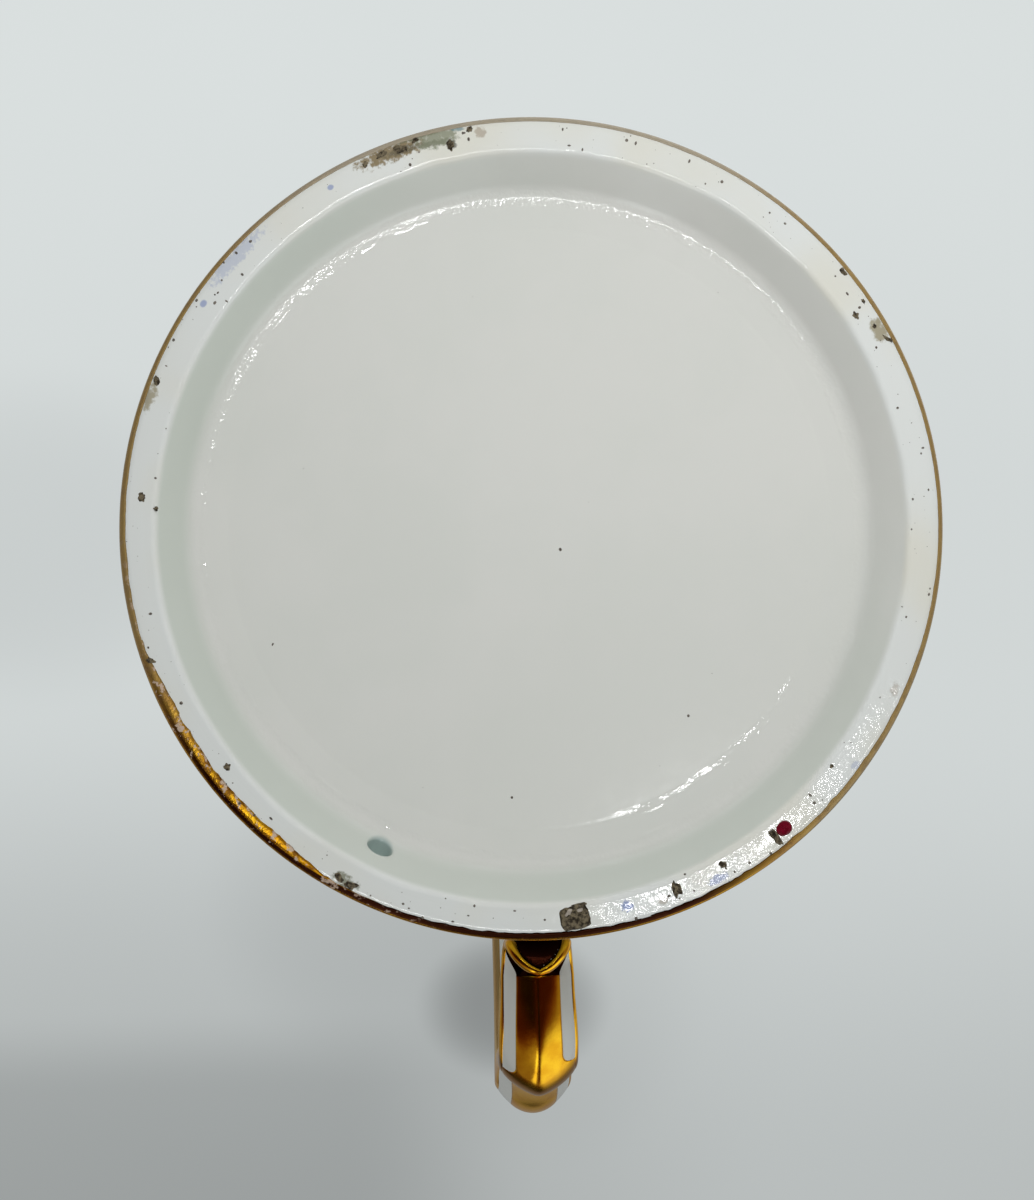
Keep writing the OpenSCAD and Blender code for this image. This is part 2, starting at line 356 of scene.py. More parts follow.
def stain(place, axes, turn, radius, length, width, grain):
    """Share of one soft ragged stain; its length lies round the cup and its width across the ring."""
    x, y, z = axes
    ahead, aside = compass(turn)
    along = y * ahead - x * aside
    bulge = along * along * (0.5 / radius)
    off = (x * ahead + y * aside + bulge - radius) / width
    far = along / length
    ragged = noise_of(place, grain, 3.0, 0.6) * 2.4 - 1.2
    return between(off * off + far * far + ragged, 0.9, 0.2) * between(z, 1.2, 0.8)


print("stains:", len(STAINS))

# %% [markdown]
# Glazed porcelain is white clay under a layer of glass. The glass is faintly blue-grey, goes sea-green where
# it pooled in the corner of the recess, and is clouded a little all over. That sea-green is also painted
# darker on the recess wall, most on the left and lower sides, so there it is painted shade as well as pooled
# glaze. On the standing ring the glaze is wrinkled and pitted, and it lies in beads along the edge of the
# base, so it glitters there. Distance from the axis and height above the table pick out these places.

# %% Porcelain finish
CLAY_WHITE = (0.79, 0.79, 0.752)
CLAY_SHADE = (0.765, 0.772, 0.73)
RING_WHITE = (0.83, 0.85, 0.83)
RING_WARM = (0.82, 0.81, 0.73)
POOLED_GLAZE_AND_SHADE = (0.565, 0.635, 0.56)
PIN_TEAL_AND_SHADE = (0.42, 0.52, 0.50)
PIN_MIDDLE = (23.98, 12.22, 3.45)
POOL_ACROSS = (25.2, 26.6, 28.0, 28.7)
BASE_EDGE_ACROSS = (22.4, 22.6, 23.1, 23.3)
FILLET_ACROSS = (24.5, 24.8, 25.7, 26.0)
RING_FROM = (27.9, 28.5)
RING_UNDER = (0.9, 0.4)
RECESS_UNDER = (5.0, 4.6)
BEAD, SWAY, CREASE, CRUSHED = 0.32, 2.4, 0.5, 3.2


def foot_colours(place, colour):
    """Glaze gathered thick in the recess corner with painted shade there, the paler ring, the pin hole with
    painted shade in it, and the stains.
    """
    x, y, z = axes_of(place)
    across = from_axis(x, y)
    # Painted shade: the recess wall and corner turn a darker sea-green, heavier on the left and lower sides;
    # partly pooled glaze, partly painted shade.
    thick_and_shaded_side = (between(y, -8, 22) * 0.6).math("MAXIMUM", between(x, -2, 22) * 0.5)
    pooled_and_shaded = within(across, *POOL_ACROSS) * between(z, *RECESS_UNDER) * thick_and_shaded_side
    colour = mixed(pooled_and_shaded, colour, POOLED_GLAZE_AND_SHADE)
    ring = between(across, *RING_FROM) * between(z, *RING_UNDER)
    warm = between(noise_of(place, 14), 0.42, 0.62)
    colour = mixed(ring, colour, mixed(warm, RING_WHITE, RING_WARM))
    # Painted shade: the glaze goes dark teal toward the pin hole's middle, partly glaze that ran into it and
    # partly painted shade in the hole.
    ends = {0: place, 1: PIN_MIDDLE}
    from_pin = value(place.tree, "ShaderNodeVectorMath", ends, "Value", operation="DISTANCE")
    colour = mixed(between(from_pin, 1.3, 0.75), colour, PIN_TEAL_AND_SHADE)
    for *where, tint, amount in STAINS:
        colour = mixed(stain(place, (x, y, z), *where) * amount, colour, tint)
    return colour


def foot_bumps(place, normal):
    """Beads along the base's edge and the fillet, and crushed creases on the ring toward the lamp."""
    x, y, z = axes_of(place)
    across = from_axis(x, y)
    toward_lamp = x * 0.82 - y * 0.57
    broken = between(noise_of(place, 3.0, 1.0), 0.40, 0.52)
    edge = within(across, *BASE_EDGE_ACROSS) * between(toward_lamp, 19.5, 21.4) * broken
    beaded = (edge + within(across, *FILLET_ACROSS)) * between(z, *RECESS_UNDER)
    normal = bumped((noise_of(place, BEAD, 1.0) - 0.5) * beaded, 0.026, normal)
    normal = bumped((noise_of(place, SWAY, 1.0) - 0.5) * beaded, 0.09, normal)
    ring = between(across, *RING_FROM) * between(z, *RING_UNDER)
    crushed = between(noise_of(place, CRUSHED, 1.0), 0.38, 0.56) * 0.75 + 0.25
    pitted = ring * crushed * between(toward_lamp, 22.5, 28)
    creases = noise_of(place, CREASE, 3.0, 0.6) - 0.5
    return bumped(creases * pitted, 0.04, normal)


def porcelain(name, with_foot):
    """White glaze; with_foot adds what only the underside shows."""
    material, shader, place = new_material(name)
    clouds = between(noise_of(place, 9, 3.0), 0.35, 0.7)
    colour = mixed(clouds, CLAY_WHITE, CLAY_SHADE)
    normal = bumped(noise_of(place, 0.9, 1.0), 0.008, strength=0.5)
    if with_foot:
        colour = foot_colours(place, colour)
        normal = foot_bumps(place, normal)
    feed(shader, {"Base Color": colour, "Roughness": clouds * 0.04 + 0.06, "Normal": normal, "IOR": 1.5})
    return material


glaze = porcelain("glazed_porcelain", False)
foot_glaze = porcelain("glazed_porcelain_foot", True)
print("finishes:", glaze.name, foot_glaze.name)

# %% [markdown]
# The body is a thrown and turned shape, so one outline turned about the axis makes it all: the
# recessed base, the sloping recess wall, the ring it stands on, the straight outside, the lip
# and the inside. The outline is a short list of corners, each rounded by its own radius. The
# ring's face lies a tenth of a millimetre above the table, which leaves room for the kiln grit.

# %% Outline of the body
WALL = 2.5 * MM
FLOOR = 3.4 * MM
RECESS = 4.2 * MM
RECESS_LEAN = 2.6 * MM
RING = 2.6 * MM
GRIT_ROOM = 0.1 * MM
BASE_R = 22.9 * MM
LIP_ROUND = 0.8 * MM
ROUNDING_STEPS = 8
OUTLINE_SPACING = 1.1 * MM
recess_r = cup_r - RING
inside_r = cup_r - WALL
inside_z = RECESS + FLOOR
CORNERS = [
    (0, RECESS, 0),
    (BASE_R - 0.3 * MM, RECESS, 3 * MM),
    (BASE_R, RECESS + 0.005 * MM, 3 * MM),
    (recess_r - RECESS_LEAN, RECESS - 0.2 * MM, 1.7 * MM),
    (recess_r, GRIT_ROOM - 0.03 * MM, 0.6 * MM),
    (recess_r + 0.7 * MM, GRIT_ROOM, 1.5 * MM),
    (cup_r, GRIT_ROOM, LIP_ROUND),
    (cup_r, cup_h, LIP_ROUND),
    (inside_r, cup_h, LIP_ROUND),
    (inside_r, inside_z, 5 * MM),
    (0, inside_z, 0),
]


def rounded(corners, steps, spacing):
    """Points along an outline of (radius, height, rounding) corners, no further apart than spacing."""
    arcs = [[Vector(corners[0][:2])]]
    for before, here, after in zip(corners, corners[1:], corners[2:]):
        p, size = Vector(here[:2]), here[2]
        a = (Vector(before[:2]) - p).normalized()
        b = (Vector(after[:2]) - p).normalized()
        half = a.angle(b) / 2
        centre = p + (a + b).normalized() * size / math.sin(half)
        start = p + a * size / math.tan(half) - centre
        end = p + b * size / math.tan(half) - centre
        arcs.append([centre + start.slerp(end, i / steps) * size for i in range(steps + 1)])
    arcs.append([Vector(corners[-1][:2])])
    points = []
    for arc, following in zip(arcs, arcs[1:]):
        points += arc
        reach = following[0] - arc[-1]
        count = max(1, math.ceil(reach.length / spacing))
        points += [arc[-1] + reach * i / count for i in range(1, count)]
    return points + arcs[-1]


def outline_object(name, points):
    """An outline as a row of joined points, for a tree to read; it is no piece of the cup."""
    mesh = bpy.data.meshes.new(name)
    mesh.from_pydata([(p.x, 0, p.y) for p in points], [(i, i + 1) for i in range(len(points) - 1)], [])
    return bpy.data.objects.new(name, mesh)


body_points = rounded(CORNERS, ROUNDING_STEPS, OUTLINE_SPACING)
body_outline = outline_object("body_outline", body_points)
print("outline points:", len(body_points))

# %% [markdown]
# The turning is done by a small tree. A flat grid is rolled up: its columns become steps round
# the axis, and its rows take their radius and height from the outline's points. Merging closes
# the seam and the two poles. A soft noise then moves the skin by a few thousandths of a
# millimetre, as a glaze that flowed in the kiln does. A lathe tool could do the first half,
# but the tree keeps the number of steps and the ripple as inputs that can be changed.

# %% Tree that turns an outline
SEAM = 0.002 * MM
KNIFE_SIZE = 1 / 4.5
INNER_EDGE = (26.6 * MM, 28.2 * MM, 28.7 * MM, 29.8 * MM)
INNER_EDGE_UNDER = (3 * MM, 1 * MM)
STEPS_ROUND = 432


def unrolled_grid(tree, steps, rows):
    """A flat grid to be rolled up: its shape, its turn in radians and its share of the rows."""
    sizes = {"Size X": 1.0, "Size Y": 1.0, "Vertices X": steps + 1, "Vertices Y": rows}
    grid = add(tree, "GeometryNodeMeshGrid", sizes).outputs
    flat = Value(grid["UV Map"])
    shape = shaped(Value(grid["Mesh"]), "StoreNamedAttribute", {"Name": "UVMap", "Value": flat},
                   data_type="FLOAT2", domain="CORNER")
    across, along = axes_of(flat)[:2]
    return shape, across * math.tau, along


def rolled_up(shape, turn, reach, height):
    """The grid rolled up round the axis, with its seam and its poles merged."""
    place = vector(reach * turn.math("COSINE"), reach * turn.math("SINE"), height)
    rolled = shaped(shape, "SetPosition", {"Position": place})
    return shaped(rolled, "MergeByDistance", {"Distance": SEAM})


def shape_of(thing):
    """The mesh of an object that is an input of a tree."""
    return value(thing.tree, "GeometryNodeObjectInfo", {"Object": thing}, "Geometry")


def turning_tree():
    """Turns an outline about the axis and lets its skin ripple."""
    tree, given = new_tree(
        "turned_clay", Object=["Outline"], Int=["Points", "Steps"], Material=["Material"],
        Float=["Ripple", "Ripple size", "Edge wander"])
    grid, turn, along = unrolled_grid(tree, given["Steps"], given["Points"])
    here = value(tree, "GeometryNodeInputPosition")
    row = (along * (given["Points"] - 1)).math("ROUND")
    sample = {"Geometry": shape_of(given["Outline"]), "Value": here, "Index": row}
    point = value(tree, "GeometryNodeSampleIndex", sample, data_type="FLOAT_VECTOR", domain="POINT")
    radius, height = axes_of(point)[::2]
    knife = noise_of(vector(turn.math("COSINE"), turn.math("SINE")), KNIFE_SIZE, 3.0)
    at_edge = within(radius, *INNER_EDGE) * between(height, *INNER_EDGE_UNDER)
    wander = (knife - 0.5) * at_edge * given["Edge wander"]
    closed = rolled_up(grid, turn, radius + wander, height)
    lumps = (noise_of(here, given["Ripple size"], 1.5) - 0.5) * given["Ripple"]
    skin = value(tree, "GeometryNodeInputNormal")
    push = value(tree, "ShaderNodeVectorMath", {0: skin, "Scale": lumps}, operation="SCALE")
    coat(shaped(closed, "SetPosition", {"Offset": push}), given["Material"])
    return tree


turned = turning_tree()
body = grow("porcelain_body", turned, {
    "Outline": body_outline, "Points": len(body_points), "Steps": STEPS_ROUND,
    "Ripple": 0.008 * MM, "Ripple size": 6 * MM, "Edge wander": 0.6 * MM, "Material": foot_glaze})
print("body:", len(body.data.vertices), "points")

# %% [markdown]
# A small blind hole is pricked into the recess wall: the cup hung from a pin there in the kiln.
# Glaze ran into it, so its mouth is soft. A drill with a flared top, turned by the same tree,
# is cut out of the body with a Boolean.

# %% Pin hole
PIN_TURN = math.radians(27.0)
PIN_HEIGHT = 2.8 * MM
PIN_R = 1.0 * MM
PIN_DEPTH = 1.5 * MM
PIN_FLARE = 0.25 * MM
DRILL_STEPS = 40
DRILL = [
    (0, PIN_DEPTH, 0),
    (PIN_R * 0.9, PIN_DEPTH, 0.5 * MM),
    (PIN_R, 0, PIN_FLARE),
    (PIN_R + 4 * PIN_FLARE, -3 * PIN_FLARE, 0.1 * MM),
    (0, -2 * MM, 0),
]
drill_points = rounded(DRILL, 6, 0.4 * MM)
drill_line = outline_object("drill_outline", drill_points)
drill = grow("drill", turned, {
    "Outline": drill_line, "Points": len(drill_points), "Steps": DRILL_STEPS,
    "Ripple size": 1 * MM, "Material": foot_glaze})
pin_r = recess_r - RECESS_LEAN * PIN_HEIGHT / RECESS
drill_lean = Matrix.Rotation(math.atan2(RECESS, RECESS_LEAN), 4, "Y")
drill_place = Matrix.Translation((pin_r, 0, PIN_HEIGHT))
drill.data.transform(Matrix.Rotation(PIN_TURN, 4, "Z") @ drill_place @ drill_lean)
cut = body.modifiers.new("pin_hole", "BOOLEAN")
cut.object = drill
cut.solver = "MANIFOLD"
keep_result(body, cut)
bpy.data.objects.remove(drill)
settle(body, "porcelain", "cup_body")

# %% [markdown]
# Fired gold is thin and follows what is under it. Burnished gold is bright, but the gilder's brush leaves
# faint strokes, and where hands and tables rubbed it, it goes brown and dull. On the handle the elbow's
# border is painted dark brown, a painted dark reflection, and one edge of the upper run is softer. On the
# foot the gold is thin or faded where it was laid sparingly, has a near-black core near the handle, which is
# a painted dark reflection, and is worn through in spots at the left. The heel and the tail's dish get a
# near-black gold that is painted shade. Only colour, roughness, metal and bump vary, on Object coordinates.

# %% Gold finish
GOLD_BRIGHT = (0.82, 0.47, 0.02)
GOLD_DEEP = (0.66, 0.32, 0.012)
GOLD_WORN = (0.32, 0.14, 0.03)
# Painted reflection: the near-black colour of the foot line's band near the handle.
GOLD_DARK_REFLECTION = (0.04, 0.011, 0.005)
GOLD_THIN = (0.31, 0.225, 0.10)
GOLD_FADED = (0.46, 0.42, 0.34)
GOLD_SOFT = (0.50, 0.34, 0.14)
# Painted shade: the near-black gold of the heel and the tail's dish, which stands for shade and dark
# reflections.
GOLD_SHADE = (0.014, 0.003, 0.0015)
GOLD_GLANCE = (1.0, 0.84, 0.66)
SHADE_GLANCE = (0.30, 0.10, 0.05)
GLAZE_BARE = (0.62, 0.47, 0.36)
# Painted reflection: the dark brown of the elbow's border.
CREST_DARK_REFLECTION = (0.12, 0.014, 0.004)
CREST_HEIGHT = (20.9, 21.9, 25, 26)
SOFT_EDGE_HEIGHT = (45, 47)
cup_mm = cup_r / MM


def handle_shade_and_soft_edge(place, finish):
    """Gold painted dark brown on the elbow's border as a painted dark reflection, and softer gold on the left
    edge of the upper run.
    """
    x, y, z = axes_of(place)
    # Painted reflection: the elbow's border is painted dark, where the gold turns away and mirrors dark
    # surroundings.
    dark_crest = within(z, *CREST_HEIGHT) * between(x, cup_mm + 7, cup_mm + 9)
    off_wall = between(x, cup_mm + 0.3, cup_mm + 0.8)
    soft = between(z, *SOFT_EDGE_HEIGHT) * between(y, 1.7, 2.4) * off_wall
    colour = mixed(dark_crest * 0.8, finish["Base Color"], CREST_DARK_REFLECTION)
    finish["Base Color"] = mixed(soft, colour, GOLD_SOFT)
    finish["Metallic"] = 1.0 - soft * 0.65


def foot_wear_and_shade(place, finish):
    """Gold that is thin, faded and worn through, each on its own side of the foot, with a painted dark
    reflection near the handle.
    """
    x, y, z = axes_of(place)
    across = from_axis(x, y)
    unrolled = value(place.tree, "ShaderNodeUVMap", uv_map="UVMap")
    border = between(axes_of(unrolled)[1], 0.16, 0.02)
    worn_side = between(x * 0.60 + y * 0.80, 23, 30)
    near_side = between(x * 0.97 + y * 0.26, 14, 25)
    below = between(z, 1.0, 0.8)
    thin = (1.0 - near_side) * below
    colour = mixed(thin * 0.85, finish["Base Color"], GOLD_THIN)
    faded = between(x, -20, -29) * below
    colour = mixed(faded * 0.8, colour, GOLD_FADED)
    # Painted reflection: a near-black band on the side near the handle stands for the dark surroundings that
    # the gold's rounding mirrors there.
    inward = (1.0 - worn_side) * 0.4 + across
    dark_reflection_core = between(inward, cup_mm - 0.44, cup_mm - 0.36) * between(across, cup_mm - 0.06, cup_mm - 0.12)
    colour = mixed(dark_reflection_core * below * near_side, colour, GOLD_DARK_REFLECTION)
    spots = border * 0.08 + noise_of(place, 0.7, 4.0, 0.65)
    bare = between(spots, 0.60, 0.66) * worn_side
    crinkled = noise_of(place, 0.2, 2.0) * worn_side
    finish["Base Color"] = mixed(bare, colour, GLAZE_BARE)
    finish["Roughness"] = border * 0.3 + finish["Roughness"]
    finish["Metallic"] = 1.0 - bare.math("MAXIMUM", thin * 0.8)
    finish["Normal"] = bumped(crinkled, 0.03, finish["Normal"])


def gold(name, wear, grain, light=GOLD_BRIGHT, dark=GOLD_DEEP, glance=GOLD_GLANCE, more_wear_and_shade=None):
    """Burnished gold; wear is the share rubbed brown and grain the size of its faults."""
    material, shader, place = new_material(name)
    strokes = noise_of(place, 1.6, 3.0)
    rubbed = between(noise_of(place, 1.1, 5.0, 0.7), 0.72 - 0.4 * wear, 0.80 - 0.3 * wear)
    colour = mixed(between(strokes, 0.3, 0.7), light, dark)
    brushed = bumped(strokes, 0.03, strength=0.35)
    finish = {
        "Base Color": mixed(rubbed * 0.8, colour, GOLD_WORN),
        "Roughness": rubbed * 0.22 + 0.17,
        "Metallic": 1.0,
        "Normal": bumped(noise_of(place, grain, 3.0), 0.02, brushed, 0.35),
        "Specular Tint": (*glance, 1.0),
    }
    if more_wear_and_shade:
        more_wear_and_shade(place, finish)
    feed(shader, finish)
    return material


handle_gold = gold("burnished_gold", 0.15, 0.45, more_wear_and_shade=handle_shade_and_soft_edge)
edge_gold = gold("worn_gold", 0.55, 0.22, more_wear_and_shade=foot_wear_and_shade)
shade_gold = gold("burnt_gold", 0.0, 0.3, GOLD_SHADE, GOLD_SHADE, SHADE_GLANCE)
print("gold:", handle_gold.name, edge_gold.name, shade_gold.name)

# %% [markdown]
# The gilder turns the cup on a wheel and holds a loaded brush to it, so each gold line goes all
# the way round, with borders that wander a little. The tree below lays such a line on the body's
# outline: it is measured along the outline from its start to its end, both are shifted by noise
# round the cup, and the strip stands a few hundredths of a millimetre proud, thinning at both
# borders. Its rows go there on top and back underneath, so it is a closed skin. On one side the
# line is broader, and there a wider noise lets the gold smear over the ring.

# %% Tree that lays a gold line
SMEAR_REACH = (0.92, 0.985)
WIDE_REACH = (-0.3, 0.7)


def gold_line_tree():
    """Lays a thin closed strip round the cup, between two lengths along its outline."""
    tree, given = new_tree(
        "gold_line", Object=["Outline"], Int=["Steps", "Rows"], Material=["Material"],
        Float=["Start", "End", "Wander", "Wander size", "Wide", "Wide turn", "Smear", "Smear turn",
               "Proud", "Bedded"])
    grid, turn, rows = unrolled_grid(tree, given["Steps"], given["Rows"])
    rim_x, rim_y = turn.math("COSINE") * cup_r, turn.math("SINE") * cup_r

    def wander(height):
        """Drift of a border round the cup; each height gives another one."""
        lumps = noise_of(vector(rim_x, rim_y, height), given["Wander size"], 4.0, 0.6)
        return (lumps - 0.5) * given["Wander"]

    smeared = between((turn - given["Smear turn"]).math("COSINE"), *SMEAR_REACH) * given["Smear"]
    patchy = (wander(3.0) * 2.0 + smeared).math("MINIMUM", smeared).math("MAXIMUM", 0.0)
    broad = between((turn - given["Wide turn"]).math("COSINE"), *WIDE_REACH)
    ragged = wander(1.0) * (broad * 0.75 + 0.25)
    inner = given["Start"] - broad * given["Wide"] + ragged - patchy
    outer = given["End"] + wander(2.0)
    across = 1.0 - (rows * 2.0 - 1.0).math("ABSOLUTE")
    curve = value(tree, "GeometryNodeMeshToCurve", {"Mesh": shape_of(given["Outline"])})
    along = {"Curves": curve, "Length": across * (outer - inner) + inner}
    found = add(tree, "GeometryNodeSampleCurve", along, mode="LENGTH").outputs
    round_the_cup = {0: (0.0, 1.0, 0.0), 1: Value(found["Tangent"])}
    sideways = value(tree, "ShaderNodeVectorMath", round_the_cup, operation="CROSS_PRODUCT")
    crown = 1.0 - (across * 2.0 - 1.0).math("ABSOLUTE") ** 6.0
    depth = rows.math("GREATER_THAN", 0.5) * (given["Proud"] + given["Bedded"])
    lift = crown * (given["Proud"] - depth)
    raised = {0: sideways, 1: vector(lift, lift, lift), 2: Value(found["Position"])}
    lifted = value(tree, "ShaderNodeVectorMath", raised, operation="MULTIPLY_ADD")
    radius, height = axes_of(lifted)[::2]
    coat(rolled_up(grid, turn, radius, height), given["Material"])
    return tree


gilt_line = gold_line_tree()
print("gold line:", len(gilt_line.nodes), "nodes")

# %% [markdown]
# The same tree lays both lines. The one on the foot is rough: it goes over the rounding of the
# standing ring, wanders a lot and smears at the left. The one on the lip is even.

# %% Gold lines on foot and lip
def outline_length(radius, height):
    """Distance along the body's outline to its point nearest a radius and height."""
    target = Vector((radius, height))
    nearest = min(range(len(body_points)), key=lambda i: (body_points[i] - target).length)
    return sum((b - a).length for a, b in zip(body_points[:nearest], body_points[1:nearest + 1]))


LINE = {"Outline": body_outline, "Proud": 0.045 * MM, "Bedded": 0.03 * MM, "Steps": 720, "Rows": 25}
FOOT_LINE = {
    "Start": outline_length(cup_r - 0.28 * MM, 0.23 * MM), "End": outline_length(cup_r, 1.8 * MM),
    "Wander": 0.4 * MM, "Wander size": 1.3 * MM, "Wide": 0.22 * MM, "Wide turn": math.radians(15),
    "Smear": 0.55 * MM, "Smear turn": math.radians(53), "Material": edge_gold}
LIP_LINE = {
    "Start": outline_length(cup_r, cup_h - 1.6 * MM), "End": outline_length(cup_r - 0.9 * MM, cup_h),
    "Wander": 0.2 * MM, "Wander size": 4 * MM, "Material": handle_gold}
settle(grow("gold_foot_line", gilt_line, LINE | FOOT_LINE), "gilding", "gilt_foot_line")
settle(grow("gold_lip_line", gilt_line, LINE | LIP_LINE), "gilding", "gilt_rim_line")

# %% [markdown]
# The handle is a pressed strap of clay, bent by hand: out from the wall, round an ear, in at a
# hollow waist, out at an elbow, back to the wall along the lower arm, and down the wall to a
# tail that curls off. Its line is arcs that run into each other, worked out as in the solid, so
# it stands where the solid stands.

# %% Line of the strap
STRAP_W, STRAP_T, RIDGE, UPPER_W = 6.2 * MM, 2.2 * MM, 1.5 * MM, 5.5 * MM
EAR_REACH, EAR_R, UPPER_DROP, WAIST_R = 16.1 * MM, 9 * MM, 10 * MM, 28 * MM
ELBOW_REACH, LOOP_H, ELBOW_R, ARM_DROP = 13.4 * MM, 27 * MM, 3.6 * MM, 1.1 * MM
HEEL_R, HEEL_RUN, ARM_W, HEEL_W, HEEL_T = 2.6 * MM, 2 * MM, 5.7 * MM, 5.4 * MM, 1.2 * MM
TAIL_R, TAIL_TURN, TAIL_RUN = 1.4 * MM, 75.0, 1.25 * MM
SLIP = 0.4 * MM
BEND_STEP = 0.16 * MM

seat_x = cup_r + SLIP
ridge_out = STRAP_T / 2 + RIDGE
ear_c = np.array([cup_r + EAR_REACH - ridge_out - EAR_R, cup_h - UPPER_DROP - EAR_R])
elbow_c = np.array([cup_r + ELBOW_REACH - ridge_out - ELBOW_R, cup_h - UPPER_DROP - LOOP_H])
heel_mid = seat_x + HEEL_T / 2
heel_x = heel_mid + HEEL_R
arm_z = elbow_c[1] - ELBOW_R - ARM_DROP
gap = np.linalg.norm(elbow_c - ear_c)
down = (elbow_c - ear_c) / gap
along = ((EAR_R + WAIST_R) ** 2 - (ELBOW_R + WAIST_R) ** 2 + gap ** 2) / (2 * gap)
aside = math.sqrt((EAR_R + WAIST_R) ** 2 - along ** 2)
waist_c = ear_c + along * down + aside * np.array([-down[1], down[0]])
belly_r = ((elbow_c[0] - heel_x) ** 2 + 2 * ELBOW_R * ARM_DROP + ARM_DROP ** 2) / (2 * ARM_DROP)
belly_c = np.array([heel_x, arm_z + belly_r])
heel_c = np.array([heel_x, arm_z - HEEL_R])
tail_c = np.array([heel_mid + TAIL_R, arm_z - HEEL_R - HEEL_RUN])


def bearing(v):
    """Direction of a step in degrees."""
    return math.degrees(math.atan2(v[1], v[0]))


def bend(centre, radius, start, end):
    """Places along an arc: x, z, heading in degrees, and the share of the arc that is behind."""
    count = max(3, math.ceil(abs(math.radians(end - start)) * radius / BEND_STEP))
    share = np.linspace(0, 1, count + 1)
    turn = start + (end - start) * share
    x = centre[0] + radius * np.cos(np.radians(turn))
    z = centre[1] + radius * np.sin(np.radians(turn))
    return np.stack([x, z, turn + math.copysign(90, end - start), share], 1)


ear_end = bearing(waist_c - ear_c)
waist_end = bearing(elbow_c - waist_c)
elbow_end = bearing(elbow_c - belly_c)
ear = bend(ear_c, EAR_R, 90, ear_end)
waist = bend(waist_c, WAIST_R, ear_end + 180, waist_end + 360)
elbow = bend(elbow_c, ELBOW_R, bearing(waist_c - elbow_c), elbow_end)
belly = bend(belly_c, belly_r, elbow_end, -90)
heel = bend(heel_c, HEEL_R, 90, 180)
tail = bend(tail_c, TAIL_R, 180, 180 + TAIL_TURN)
tip = tail[-1, :2] + TAIL_RUN * np.array(compass(tail[-1, 2]))
print("arcs of the strap:", [len(arc) for arc in (ear, waist, elbow, belly, heel, tail)])

# %% [markdown]
# Each place along the strap has a width, a ridge, a thickness and a hollow. A potter thins the
# strap at the heel and pinches the tail to a point, so the sizes change smoothly on the way. One
# row of the table of stations is x, z, heading, width, ridge, thickness and hollow.

# %% Sizes along the strap
TIP_SHARE, TIP_THIN, TAIL_FALL, TAIL_POINT, HEEL_FADE = 0.06, 0.6, 1.5, 0.6, 0.4
TAIL_HOLLOW = 0.42 * MM
HOLLOW_START = 0.6
TOP_STEPS, SHORT_STEPS = 11, 6


def ease(t):
    """A smooth start and end for a share from 0 to 1."""
    return t * t * (3 - 2 * t)


def tail_share(x):
    """Share of the heel's width that the tail keeps at a reach from the wall."""
    reach = np.clip((x - seat_x) / (tip[0] - seat_x), 0, 1)
    return TIP_SHARE + (1 - TIP_SHARE) * (1 - reach ** TAIL_FALL) ** TAIL_POINT


def straight(start, end, heading, count):
    """Places along a straight run: x, z and heading."""
    return np.column_stack([np.linspace(start, end, count + 1), np.full(count + 1, heading)])


def sized(places, width, ridge, thick, hollow=0.0):
    """Adds the strap's sizes to places."""
    columns = [np.broadcast_to(np.asarray(c, float), len(places)) for c in (width, ridge, thick, hollow)]
    return np.column_stack([places[:, :3], *columns])


heel_share = tail_share(heel_mid)
top_z = ear_c[1] + EAR_R
top_places = straight((seat_x, top_z), (ear_c[0], top_z), 0.0, TOP_STEPS)[:-1]
heel_foot = (heel_mid, heel_c[1] - HEEL_RUN)
heel_places = straight((heel_mid, heel_c[1]), heel_foot, 270.0, SHORT_STEPS)[1:-1]
tip_places = straight(tail[-1, :2], tip, tail[-1, 2], SHORT_STEPS)[1:]
tail_places = np.concatenate([tail[:, :3], tip_places])
tail_shares = tail_share(tail_places[:, 0])
tail_thick = HEEL_T * (TIP_THIN + (1 - TIP_THIN) * tail_shares / heel_share)
tail_hollow = TAIL_HOLLOW * ease(np.linspace(0, 1, len(tail_places)) ** HOLLOW_START)
waist, elbow, belly, heel = waist[1:], elbow[1:], belly[1:], heel[1:]
arm_share, heel_bent = ease(belly[:, 3]), heel[:, 3]
stations = np.concatenate([
    sized(top_places, UPPER_W, RIDGE, STRAP_T),
    sized(ear, UPPER_W + (STRAP_W - UPPER_W) * ease(ear[:, 3]), RIDGE, STRAP_T),
    sized(waist, STRAP_W, RIDGE, STRAP_T),
    sized(elbow, STRAP_W, RIDGE, STRAP_T),
    sized(belly, STRAP_W + (ARM_W - STRAP_W) * arm_share, RIDGE * (1 - HEEL_FADE * arm_share), STRAP_T),
    sized(heel, ARM_W + (HEEL_W * heel_share - ARM_W) * heel_bent,
          RIDGE * (1 - HEEL_FADE) * (1 - ease(heel_bent)), STRAP_T + (HEEL_T - STRAP_T) * heel_bent),
    sized(heel_places, HEEL_W * heel_share, 0, HEEL_T),
    sized(tail_places, HEEL_W * tail_shares, 0, tail_thick, tail_hollow),
])
elbow_first = len(top_places) + len(ear) + len(waist)
belly_first = elbow_first + len(elbow)
heel_first = belly_first + len(belly)
tail_first = heel_first + len(heel) + len(heel_places)
print("stations:", len(stations), "elbow from", elbow_first, "heel from", heel_first, "tail from", tail_first)

# %% [markdown]
# Across, the strap is flat inside and roofed outside, with its ridge in the middle. One number
# goes all the way round the section: from -1 to 1 it crosses the outside, and from 1 to 3 it
# comes back along the inside. A skin made from such numbers fits the clay and the gold alike.
# The ridge is blunt on the ear and gets sharper toward the elbow.

